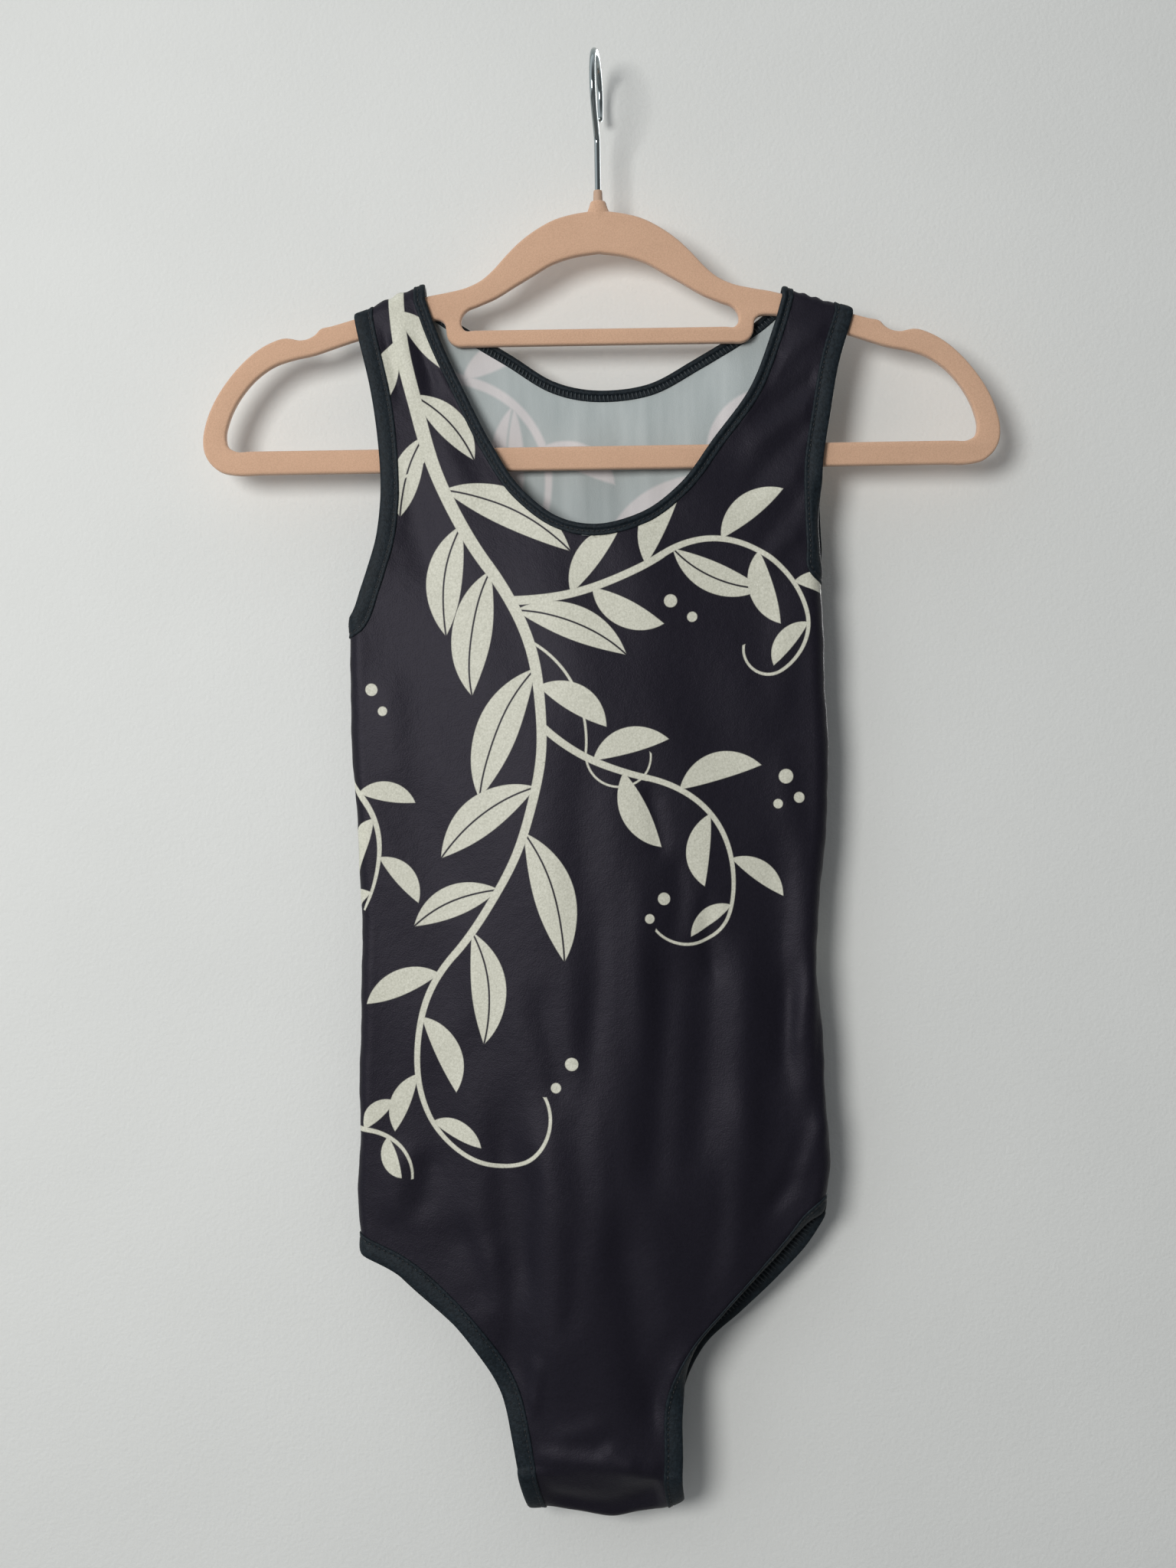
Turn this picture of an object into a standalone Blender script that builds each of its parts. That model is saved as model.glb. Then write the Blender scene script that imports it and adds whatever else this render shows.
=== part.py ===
"""A sleeveless stretch leotard hanging on a flocked clothes hanger with a wire hook.

Sizes are in millimetres and MM turns them into metres when a mesh is made. The origin is the
inside top of the hook, where it rests on a rail. +X runs to the right of the front view, +Y runs
from the front panel to the back panel and +Z is up. The cloth is worked out as one skin: a
tube with rounded sides below the armholes, two straps that fold over the hanger's arms above
them, and a fold under the crotch below. Front and back panels are walls on that skin, and
each binding is a folded strip round a panel's raw edge.
"""

import math

import bmesh
import bpy
import numpy as np

MM = 0.001
SEAM_GAP = 0.3

# Hanger sizes
HANGER_HALF_WIDTH = 222.5
HANGER_THICKNESS = 5.6
HANGER_EDGE_ROUND = 1.2
ARM_SLOPE = 0.292
ARM_START_X = 95.4
ARM_START_Z = -133.0
BAR_TOP_Z = -218.0
BAR_BOTTOM_Z = -231.0
TIE_TOP_Z = -152.5
TIE_BOTTOM_Z = -161.3
BOSS_TOP_Z = -80.4
BOSS_FOOT_Z = -93.0
BOSS_TOP_RADIUS = 4.2
BOSS_FOOT_RADIUS = 6.6
SLEEVE_TOP_Z = -75.0
SLEEVE_RADIUS = 2.4

# Hook sizes
WIRE_RADIUS = 1.65
HOOK_INNER_RADIUS = 19.0
HOOK_FOOT_Z = -90.0
HOOK_START_ANGLE = -50.0
HOOK_END_ANGLE = 205.0
HOOK_BEND_RADIUS = 7.0
HOOK_YAW = 6.5

# Cloth sizes
WALL = 1.0
LEAF = 1.0
RIDGE_RADIUS = HANGER_THICKNESS / 2 + 2.15
RIDGE_DROP = 1.6
FULLNESS_DROP = 175.0
SEAM_BEHIND_RIDGE = 25.0
CROTCH_SEAM_Y = 5.0
CROTCH_DIAGONAL = 0.6
BINDING_WIDTH = 7.0
NECK_BINDING_WIDTH = 5.5
BINDING_START = 0.6
BINDING_GAP = 0.36
CORNER_RADIUS = 11.5
# Rounded sides end here and the panels' folds grow over this distance
FOLD_START = 12.0
# Shares of the binding's half thickness at the corners of its outer fold: out, up
NOSE_OUT = 0.9
NOSE_UP = 0.6

LEFT, RIGHT = -1, 1
FRONT, BACK = -1, 1
SIDE_RADIUS = {LEFT: 6.0, RIGHT: 8.0}

# Outline of the tube's two sides: height z, side x
SIDE_LINE = {
    LEFT: [
        (-830, -135), (-700, -140), (-656, -141.5), (-640, -142.5), (-600, -140.5),
        (-560, -140), (-528, -139.2), (-500, -137.8), (-455, -138.4), (-400, -141),
        (-370, -142), (-321, -141.8), (-230, -143), (-120, -150),
    ],
    RIGHT: [
        (-830, 112), (-700, 116), (-640, 118), (-626, 120.2), (-600, 120.3),
        (-578, 118.8), (-540, 117.3), (-509, 114.7), (-475, 117.5), (-443, 120.6),
        (-400, 123.3), (-342, 122), (-295, 121), (-250, 127), (-200, 138), (-120, 152),
    ],
}

# Centre line of both panels: height z, x
CENTRE_LINE = [(-830, -4), (-780, -5), (-700, -8), (-600, -10), (-450, -9), (-330, -6), (-265, -2)]

# How far each panel stands out from the hanger's plane at its middle: height z, depth
FULLNESS = {
    FRONT: [(-800, 14), (-760, 16), (-700, 19), (-640, 21), (-560, 19), (-450, 18), (-330, 16), (-270, 14)],
    BACK: [(-800, 9), (-760, 10), (-700, 13), (-640, 16), (-560, 15), (-450, 14), (-330, 13), (-180, 11)],
}

# Stitch lines in the front view, from the strap down: x, z
ARMHOLE_LINE = {
    LEFT: [(-121.3, -181), (-116, -222), (-116.2, -250), (-119, -272), (-124, -287), (-128.3, -298)],
    RIGHT: [(124.6, -175), (119.4, -199), (115.4, -226), (114.4, -245), (114.6, -262), (115.4, -277)],
}
LEG_LINE = {
    LEFT: [(-132, -661.8), (-120.8, -667.4), (-98.1, -685.5), (-75.6, -708.8), (-58.8, -735.5), (-50.6, -765)],
    RIGHT: [(106, -648.5), (95.3, -658.8), (77.8, -677.5), (58, -698.9), (38.2, -720.4), (29, -745)],
}
NECK_LINE = {
    FRONT: [
        (-98.8, -150), (-86.3, -180), (-67, -220.4), (-47.6, -248.7), (-27.9, -264), (-2, -269.8),
        (26, -261.8), (46.2, -246.2), (66.5, -220.5), (88.9, -189), (103.0, -155),
    ],
    BACK: [
        (-91, -146.5), (-74, -157.5), (-54, -170), (-28, -185.5), (-2, -191.3),
        (27, -188.5), (54, -175.5), (76, -163), (96, -149.5),
    ],
}
STRAP_ARMHOLE_X = {LEFT: -128.5, RIGHT: 133.0}
STRAP_NECK_X = {LEFT: -103.5, RIGHT: 107.5}
MIDDLE_LEVELS = (-340.0, -640.0)
ROW_BEND = 1.6
ARMHOLE_SEAM_Z = {LEFT: -321.0, RIGHT: -295.0}
ARMHOLE_CORNER_TURN = {LEFT: 60.0, RIGHT: 62.0}
LEG_SEAM_Z = {LEFT: -657.0, RIGHT: -640.0}
LEG_CORNER_TURN = {LEFT: 30.0, RIGHT: 38.0}
LEG_END_X = {LEFT: -47.5, RIGHT: 27.8}
BACK_LEG_SHIFT = {LEFT: 1.0, RIGHT: 2.5}

# Height of each strap's fold over the hanger's arm: x, height
STRAP_RISE = {
    LEFT: [(-137, 2.8), (-128.5, 2.9), (-122, 4.6), (-115, 6.6), (-109, 6.2), (-103.5, 6.3), (-97, 5.0)],
    RIGHT: [(100, 2.9), (107.5, 2.8), (115, 2.8), (124, 2.7), (133, 2.8), (140, 2.8)],
}

# Line where the cloth starts to turn under, and the lowest line of the crotch: x, z
CROTCH_START_LINE = [(-60, -783), (-5, -783), (40, -790)]
CROTCH_BOTTOM_LINE = [
    (-60, -811), (-38, -811.5), (-29, -813), (-17, -815.4), (-6, -817), (9.5, -814.7),
    (18, -813.5), (25, -812.6), (30, -810), (45, -807.5),
]
CROTCH_DRIFT = {LEFT: 5.0, RIGHT: 2.5}

# Where a binding is rolled to the inside of the right edge: height z, angle in degrees
ARMHOLE_ROLL = [(-296, 0), (-288, 30), (-278, 55), (-266, 62), (-254, 48), (-245, 25), (-236, 0), (-215, 0)]
LEG_ROLL = [
    (-782, 0), (-766, 14), (-751, 36), (-736, 60), (-720, 80), (-672, 80), (-655, 45), (-645, 12), (-640, 0),
]

# Largest folds. Columns: top x, top z, bottom x, bottom z, depth, half width
FOLDS = {
    FRONT: [
        (-59, -560, -56, -770, -3.2, 13),
        (-36, -570, -33, -760, 1.8, 15),
        (2, -630, 22, -780, -2.6, 13),
        (57, -470, 44, -640, -2.2, 13),
        (33, -480, 20, -650, -2.2, 12),
        (-12, -350, -16, -620, -1.4, 14),
        (95, -420, 96, -600, -1.6, 14),
        (-96, -540, -88, -690, -1.4, 14),
    ],
    BACK: [
        (-70, -380, -62, -660, -2.4, 15),
        (-24, -470, -20, -740, -2.6, 14),
        (22, -330, 26, -640, -2.0, 15),
        (72, -430, 52, -690, -2.6, 14),
    ],
}

# Colours as linear red, green and blue, with roughness and metallic values
FINISHES = {
    "panel_cloth": ((0.010, 0.009, 0.014), 0.62, 0.0),
    "binding_cloth": ((0.012, 0.021, 0.028), 0.55, 0.0),
    "flock": ((0.60, 0.37, 0.26), 0.92, 0.0),
    "chrome": ((0.62, 0.65, 0.66), 0.16, 1.0),
}

# Rows and columns of the cloth
SHOULDER_STEPS = {FRONT: 6, BACK: 4}
CROTCH_STEPS = {FRONT: 4, BACK: 2}
# Share of the turn under the crotch that is left out as half the gap at its seam
CROTCH_SEAM_SHARE = {FRONT: 0.008, BACK: 0.03}
# Past this share of the turn the cloth lies level, so its normals have no depth
LEVEL_SHARE = 0.9
ARMHOLE_CORNER_POINTS = 5
LEG_CORNER_POINTS = 4
NECK_ROWS = 10
ARMHOLE_END_ROWS = 6
SIDE_ROWS = 9
LEG_ROWS = 17
SEAM_STEPS = (0, 2.2, 4.4, 6.8, 9.6, 14.0)
LEAF_BACK_FACES = (0, 6, 7)
SIDE_COLUMNS = 2
FLAT_COLUMNS = 7
# Steps for directions on the skin: a length, and an angle or a share
SMALL_LENGTH = 0.05
SMALL_SHARE = 0.002
# Part of the way off the centre line that tells a normal's outward side on the tube
SIDEWAYS = 0.02
BOSS_SEGMENTS = 20
BORE_SEGMENTS = 16
SHARP_ANGLE = 40.0


def table_curve(rows, at):
    """Smooth value of a two-column table at the given places, along its first column."""
    known, values = np.array(sorted(rows), float).T
    slopes = np.gradient(values, known)
    at = np.clip(np.asarray(at, float), known[0], known[-1])
    i = np.clip(np.searchsorted(known, at) - 1, 0, len(known) - 2)
    span = known[i + 1] - known[i]
    t = (at - known[i]) / span
    return (
        (2 * t**3 - 3 * t**2 + 1) * values[i]
        + (t**3 - 2 * t**2 + t) * span * slopes[i]
        + (3 * t**2 - 2 * t**3) * values[i + 1]
        + (t**3 - t**2) * span * slopes[i + 1]
    )


def line_points(points, shares):
    """Points of a smooth line through the given ones, at shares of its length."""
    points = np.array(points, float)
    places = np.concatenate([[0], np.cumsum(np.linalg.norm(np.diff(points, axis=0), axis=1))])
    at = np.asarray(shares, float) * places[-1]
    return np.stack([table_curve(list(zip(places, points[:, k])), at) for k in (0, 1)], -1)


def seam_shares(points, intervals):
    """Shares of a line's length, close together at its start, as SEAM_STEPS, and then even."""
    points = np.array(points, float)
    length = np.linalg.norm(np.diff(points, axis=0), axis=1).sum()
    near = np.array(SEAM_STEPS) / length
    return np.concatenate([near, np.linspace(near[-1], 1, intervals - len(near) + 2)[1:]])


def unit(vectors):
    """Vectors made one long."""
    return vectors / np.linalg.norm(vectors, axis=-1, keepdims=True)


def ease(share):
    """Smooth step from 0 to 1."""
    share = np.clip(share, 0, 1)
    return share * share * (3 - 2 * share)


def arm_top(x):
    """Height of the hanger's arm under a strap, at x."""
    return ARM_START_Z - ARM_SLOPE * (np.abs(x) - ARM_START_X)


def strap_start(x):
    """Height below the ridge where a strap hangs straight, at x."""
    return arm_top(x) - RIDGE_DROP


def fold_depth(face, x, z):
    """Outward offset of the panel's folds: a bell across each fold, faded at both its ends."""
    total = np.zeros(np.broadcast(x, z).shape)
    for top_x, top_z, bottom_x, bottom_z, depth, half_width in FOLDS[face]:
        along = (top_z - z) / (top_z - bottom_z)
        middle = top_x + (bottom_x - top_x) * along
        across = np.exp(-(((x - middle) / half_width) ** 2))
        total = total + depth * across * ease(along * 4) * ease((1 - along) * 4)
    return total


def body_point(face, side, girth, z):
    """Point of the skin at a girth distance from the side seam and a height."""
    tip = table_curve(SIDE_LINE[side], z)
    radius = SIDE_RADIUS[side]
    quarter = radius * math.pi / 2
    angle = np.minimum(girth, quarter) / radius
    beyond = np.maximum(girth - quarter, 0)
    inset = radius * (1 - np.cos(angle)) + beyond
    x = tip - side * inset
    half_width = np.abs(tip - table_curve(CENTRE_LINE, z)) - radius
    share = np.clip(beyond / half_width, 0, 1)
    bulge = (table_curve(FULLNESS[face], z) - radius) * np.sin(share * math.pi / 2) ** 2
    tube = radius * np.sin(angle) + bulge + fold_depth(face, x, z) * ease(beyond / FOLD_START)
    full = ease((strap_start(x) - z) / FULLNESS_DROP)
    y = face * (SEAM_GAP / 2 + (1 - full) * RIDGE_RADIUS + full * tube)
    return np.stack(np.broadcast_arrays(x, y, z), -1)


def shoulder_point(face, side, x, angle):
    """Point of the strap's fold over the hanger: half an ellipse, its top at angle 0."""
    y = face * (RIDGE_RADIUS + SEAM_GAP / 2) * np.sin(angle)
    z = strap_start(x) + (RIDGE_DROP + table_curve(STRAP_RISE[side], x)) * np.cos(angle)
    return np.stack(np.broadcast_arrays(x, y, z), -1)


def crotch_point(face, x, share):
    """Point of the turn under the crotch: a quarter ellipse that leans to its chord."""
    start_z = table_curve(CROTCH_START_LINE, x)
    bottom_z = table_curve(CROTCH_BOTTOM_LINE, x)
    start_y = face * (table_curve(FULLNESS[face], start_z) + SEAM_GAP / 2)
    start_y = start_y + face * fold_depth(face, x, start_z)
    turn = share * math.pi / 2
    curve_y = CROTCH_SEAM_Y + (start_y - CROTCH_SEAM_Y) * np.cos(turn)
    curve_z = start_z + (bottom_z - start_z) * np.sin(turn)
    chord_y = start_y + (CROTCH_SEAM_Y - start_y) * share
    chord_z = start_z + (bottom_z - start_z) * share
    lean = (CROTCH_DIAGONAL if face == FRONT else 0.0) * (1 - share**2)
    across = (x - LEG_END_X[LEFT]) / (LEG_END_X[RIGHT] - LEG_END_X[LEFT])
    drift = CROTCH_DRIFT[LEFT] + (CROTCH_DRIFT[RIGHT] - CROTCH_DRIFT[LEFT]) * across
    y = curve_y + (chord_y - curve_y) * lean
    z = curve_z + (chord_z - curve_z) * lean
    return np.stack(np.broadcast_arrays(x + drift * ease(share), y, z), -1)


def skin_point(face, side, zone, across, down):
    """Point of the skin in one of its three zones, from that zone's own two parameters."""
    if zone == "shoulder":
        return shoulder_point(face, side, across, down)
    if zone == "crotch":
        return crotch_point(face, across, down)
    return body_point(face, side, across, down)


def skin_normal(face, side, zone, across, down):
    """Outward unit normal, from small steps along both parameters."""
    step_down = SMALL_LENGTH if zone == "body" else SMALL_SHARE
    here = skin_point(face, side, zone, across, down)
    ahead = skin_point(face, side, zone, across + SMALL_LENGTH, down)
    behind_at = np.abs(across - SMALL_LENGTH) if zone == "body" else across - SMALL_LENGTH
    behind = skin_point(face, side, zone, behind_at, down)
    if zone == "body":
        at_seam = np.asarray(across) < SMALL_LENGTH
        behind = np.where(at_seam[..., None], 2 * here - ahead, behind)
    below = skin_point(face, side, zone, across, down + step_down)
    above = skin_point(face, side, zone, across, down - step_down)
    normal = unit(np.cross(ahead - behind, below - above))
    outward = here.copy()
    outward[..., 0] = 0
    outward[..., 2] = 0
    if zone == "shoulder":
        outward[..., 2] = here[..., 2] - strap_start(here[..., 0])
    elif zone == "crotch":
        outward[..., 2] = here[..., 2] - CROTCH_START_LINE[0][1] - 1
        level = np.asarray(down)[..., None] > LEVEL_SHARE
        normal = np.where(level, unit(normal * (1, 0, 1)), normal)
    else:
        outward[..., 0] = SIDEWAYS * (here[..., 0] - table_curve(CENTRE_LINE, here[..., 2]))
    return normal * np.sign((normal * outward).sum(-1, keepdims=True))


def girth_at(side, x, z):
    """Girth distance from the side seam of a point given in the front view."""
    inset = np.abs(table_curve(SIDE_LINE[side], z) - x)
    return inset + (math.pi / 2 - 1) * SIDE_RADIUS[side]


def armhole_line(side):
    """Stitch line of an armhole, as girth and height, from the strap to the side seam."""
    start_x = STRAP_ARMHOLE_X[side]
    points = [(start_x, strap_start(start_x))] + ARMHOLE_LINE[side]
    line = [(girth_at(side, x, z), z) for x, z in points]
    corner = np.radians(ARMHOLE_CORNER_TURN[side]) * np.linspace(1, 0, ARMHOLE_CORNER_POINTS)
    seam = ARMHOLE_SEAM_Z[side]
    return line + [(CORNER_RADIUS * math.sin(a), seam + CORNER_RADIUS * (1 - math.cos(a))) for a in corner]


def leg_line(face, side):
    """Stitch line of a leg opening, as girth and height, from the side seam to the crotch."""
    corner = np.radians(LEG_CORNER_TURN[side]) * np.linspace(0, 1, LEG_CORNER_POINTS)
    seam = LEG_SEAM_Z[side]
    line = [(CORNER_RADIUS * math.sin(a), seam - CORNER_RADIUS * (1 - math.cos(a))) for a in corner]
    shift = BACK_LEG_SHIFT[side] * side if face == BACK else 0
    spaces = len(LEG_LINE[side]) + 2
    for count, (x, z) in enumerate(LEG_LINE[side], 1):
        line.append((girth_at(side, x + shift * math.sin(math.pi * count / spaces), z), z))
    end_x = LEG_END_X[side]
    end_z = float(table_curve(CROTCH_START_LINE, end_x))
    return line + [(girth_at(side, end_x, end_z), end_z)]


def neck_line(face):
    """Stitch line of the neck in the front view, from the left strap to the right one."""
    ends = [(STRAP_NECK_X[side], strap_start(STRAP_NECK_X[side])) for side in (LEFT, RIGHT)]
    return [ends[0]] + NECK_LINE[face] + [ends[1]]


def neck_middle(face):
    """Share of the neck line's length at which it is lowest."""
    shares = np.linspace(0.3, 0.7, 401)
    return float(shares[np.argmin(line_points(neck_line(face), shares)[:, 1])])


def edge_place(face, side, edge, share):
    """Half panel, girth and height of a place on a stitch line."""
    if edge == "neck":
        x, z = line_points(neck_line(face), share)
        near = LEFT if share < neck_middle(face) else RIGHT
        return near, girth_at(near, x, z), z
    line = armhole_line(side) if edge == "armhole" else leg_line(face, side)
    girth, z = line_points(line, share)
    return side, girth, z


def edge_rows(face, side, edge, rows):
    """Points, normals and sideways directions over the whole of one half panel's edge.

    rows is a list of (zone, value): an angle on the shoulder, a share of the stitch line on the
    body or a share of the turn under the crotch.
    """
    strap_x = STRAP_NECK_X[side] if edge == "neck" else STRAP_ARMHOLE_X[side]
    line_x = {"shoulder": strap_x, "crotch": LEG_END_X[side]}
    points, normals, along = [], [], []
    for zone, value in rows:
        near, across, down = side, line_x.get(zone), value
        if zone == "body":
            near, across, down = edge_place(face, side, edge, value)
            ends = [edge_place(face, side, edge, max(value - SMALL_SHARE, 0))]
            ends.append(edge_place(face, side, edge, min(value + SMALL_SHARE, 1)))
        else:
            ends = [(side, across, value - SMALL_SHARE), (side, across, value + SMALL_SHARE)]
        before, after = (skin_point(face, end[0], zone, *end[1:]) for end in ends)
        points.append(skin_point(face, near, zone, across, down))
        normals.append(skin_normal(face, near, zone, np.array(across), np.array(down)))
        along.append(after - before)
    points, normals, along = (np.array(a, float) for a in (points, normals, along))
    return points, normals, unit(np.cross(unit(along), normals))


def leaf_start(roll):
    """Distance from the stitch line at which the inner leaf starts: further out where the edge is rolled."""
    return BINDING_START + 0.6 + (WALL + SEAM_GAP + LEAF) * math.tan(roll / 2)


def roll_angle(face, side, edge, z):
    """Angle by which a binding is rolled to the inside at a height. Only the front's right edge is."""
    if face == BACK or side == LEFT or edge == "neck":
        return 0.0
    return math.radians(float(table_curve(ARMHOLE_ROLL if edge == "armhole" else LEG_ROLL, z)))


def shoulder_angles(face):
    """Angles of a panel's rows over the shoulder, from the shoulder seam to the straight strap."""
    half_gap = math.degrees(SEAM_GAP / 2 / RIDGE_RADIUS)
    seam = SEAM_BEHIND_RIDGE * (-1 if face == FRONT else 1) + half_gap
    return np.radians(np.linspace(seam, 90, SHOULDER_STEPS[face] + 1))


def crotch_shares(face):
    """Shares of a panel's rows under the crotch, ending half a gap before the crotch seam."""
    return np.linspace(0, 1 - CROTCH_SEAM_SHARE[face], CROTCH_STEPS[face] + 1)


def column_girths(side, start, end):
    """Girths of a row's points: short steps round the side or near the edge, then even ones to the middle."""
    turn = SIDE_RADIUS[side] * math.pi / 2
    if start > turn - SMALL_LENGTH:
        turn = start + (end - start) / (FLAT_COLUMNS + 1)
    first = np.linspace(start, turn, SIDE_COLUMNS + 1)[:-1]
    return np.concatenate([first, np.linspace(turn, end, FLAT_COLUMNS + 1)])


def body_rows(face, side):
    """Rows of half a panel, each as its outer edge and share, and its inner edge and share or height."""
    ends = 1 - seam_shares(armhole_line(side)[::-1], NECK_ROWS + ARMHOLE_END_ROWS)[::-1]
    legs = seam_shares(leg_line(face, side), LEG_ROWS)
    rows = [("armhole", ends[i], "neck", i / NECK_ROWS) for i in range(NECK_ROWS)]
    lowest = line_points(neck_line(face), neck_middle(face))[1]
    foot = float(table_curve(CROTCH_START_LINE, float(table_curve(CENTRE_LINE, CROTCH_START_LINE[1][1]))))
    armhole_level, leg_level = MIDDLE_LEVELS
    for i in range(ARMHOLE_END_ROWS + 1):
        level = lowest + (armhole_level - lowest) * i / ARMHOLE_END_ROWS
        rows.append(("armhole", ends[NECK_ROWS + i], "middle", level))
    for i in range(1, SIDE_ROWS + 1):
        level = armhole_level + (leg_level - armhole_level) * i / SIDE_ROWS
        rows.append(("side", i / SIDE_ROWS, "middle", level))
    for i in range(1, LEG_ROWS + 1):
        rows.append(("leg", legs[i], "middle", leg_level + (foot - leg_level) * i / LEG_ROWS))
    return rows


def half_panel(face, side):
    """Grid of points and normals of half a panel: rows from the shoulder seam to the crotch seam."""
    middle = neck_middle(face)
    lowest = line_points(neck_line(face), middle)
    points, normals = [], []

    def add_row(zone, across, down):
        points.append(skin_point(face, side, zone, across, down))
        normals.append(skin_normal(face, side, zone, across, down))

    strap = girth_at(side, STRAP_ARMHOLE_X[side], strap_start(STRAP_ARMHOLE_X[side]))
    inner = girth_at(side, STRAP_NECK_X[side], strap_start(STRAP_NECK_X[side]))
    shares = (column_girths(side, strap, inner) - strap) / (inner - strap)
    strap_x = STRAP_ARMHOLE_X[side] + (STRAP_NECK_X[side] - STRAP_ARMHOLE_X[side]) * shares
    for angle in shoulder_angles(face)[:-1]:
        add_row("shoulder", strap_x, np.full_like(strap_x, angle))

    for count, (outer, outer_share, inner_edge, inner) in enumerate(body_rows(face, side)):
        if outer == "side":
            top, foot = ARMHOLE_SEAM_Z[side], LEG_SEAM_Z[side]
            outer_girth, outer_z = 0.0, top + (foot - top) * outer_share
        else:
            line = armhole_line(side) if outer == "armhole" else leg_line(face, side)
            outer_girth, outer_z = line_points(line, outer_share)
        if inner_edge == "neck":
            along = middle * inner if side == LEFT else 1 - (1 - middle) * inner
            x, z = line_points(neck_line(face), along)
        else:
            z = inner
            x = float(table_curve(CENTRE_LINE, z)) if count > NECK_ROWS else lowest[0]
        girths = column_girths(side, max(outer_girth, 0), girth_at(side, x, z))
        shares = (girths - girths[0]) / (girths[-1] - girths[0])
        bend = 1 + (ROW_BEND - 1) * ease((count - NECK_ROWS) / ARMHOLE_END_ROWS)
        heights = outer_z + (z - outer_z) * shares**bend
        if outer == "leg" and outer_share == 1:
            xs = LEG_END_X[side] + (x - LEG_END_X[side]) * shares
            heights = table_curve(CROTCH_START_LINE, xs)
            girths = girth_at(side, xs, heights)
        add_row("body", girths, heights)
    last = points[-1][:, 0]
    for share in crotch_shares(face)[1:]:
        add_row("crotch", last, np.full_like(last, share))
    return np.array(points), np.array(normals)


def edge_lists(face, side):
    """Row lists of the two edges that have a binding on this half, for edge_rows."""
    rows = body_rows(face, side)
    shoulder = [("shoulder", angle) for angle in shoulder_angles(face)[:-1]]
    armhole = shoulder + [("body", r[1]) for r in rows if r[0] == "armhole"]
    leg = [("body", 0.0)] + [("body", r[1]) for r in rows if r[0] == "leg"]
    leg += [("crotch", share) for share in crotch_shares(face)[1:]]
    middle, steps = neck_middle(face), np.linspace(0, 1, NECK_ROWS + 1)
    shares = middle * steps if side == LEFT else 1 - (1 - middle) * steps
    neck = shoulder + [("body", share) for share in shares]
    return {"armhole": armhole, "leg": leg, "neck": neck}


def edge_frames(face, side, edge, grid):
    """Stitch points, rolled normals and rolled outward directions along one bound edge."""
    points, normals, outward = edge_rows(face, side, edge, edge_lists(face, side)[edge])
    first = 0 if edge != "leg" else len(grid) - len(points)
    column, inner = (-1, -2) if edge == "neck" else (0, 1)
    rows = grid[first : first + len(points)]
    inward = rows[:, inner] - rows[:, column]
    outward = outward * -np.sign((outward * inward).sum(1, keepdims=True))
    # At its two ends an edge meets its other half square to the seam
    ends = {
        "armhole": [(side, 0, 0), (0, 0, 1)],
        "leg": [(0, 0, -1), (side, 0, 0)],
        "neck": [(-side, 0, 0), (0, 0, 1)],
    }
    outward[0], outward[-1] = ends[edge]
    outward = unit(outward - normals * (outward * normals).sum(1, keepdims=True))
    roll = np.array([[roll_angle(face, side, edge, p[2])] for p in points])
    rolled_outward = outward * np.cos(roll) - normals * np.sin(roll)
    rolled_normals = normals * np.cos(roll) + outward * np.sin(roll)
    return first, points, rolled_normals, rolled_outward, roll


def new_object(name, collection, finish, vertices, faces):
    """Mesh object from points in millimetres, with its outward faces checked and its material."""
    mesh = bpy.data.meshes.new(name)
    mesh.from_pydata((np.asarray(vertices) * MM).tolist(), [], faces)
    return finish_object(name, collection, finish, mesh)


def finish_object(name, collection, finish, mesh):
    """Object of a closed mesh: normals outward, smooth where it is round, and its material."""
    work = bmesh.new()
    work.from_mesh(mesh)
    bmesh.ops.recalc_face_normals(work, faces=work.faces)
    if work.calc_volume(signed=True) < 0:
        bmesh.ops.reverse_faces(work, faces=work.faces)
    work.to_mesh(mesh)
    work.free()
    mesh.shade_smooth()
    mesh.set_sharp_from_angle(angle=math.radians(SHARP_ANGLE))
    mesh.materials.clear()
    mesh.materials.append(finish)
    made = bpy.data.objects.new(name, mesh)
    collection.objects.link(made)
    return made


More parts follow.
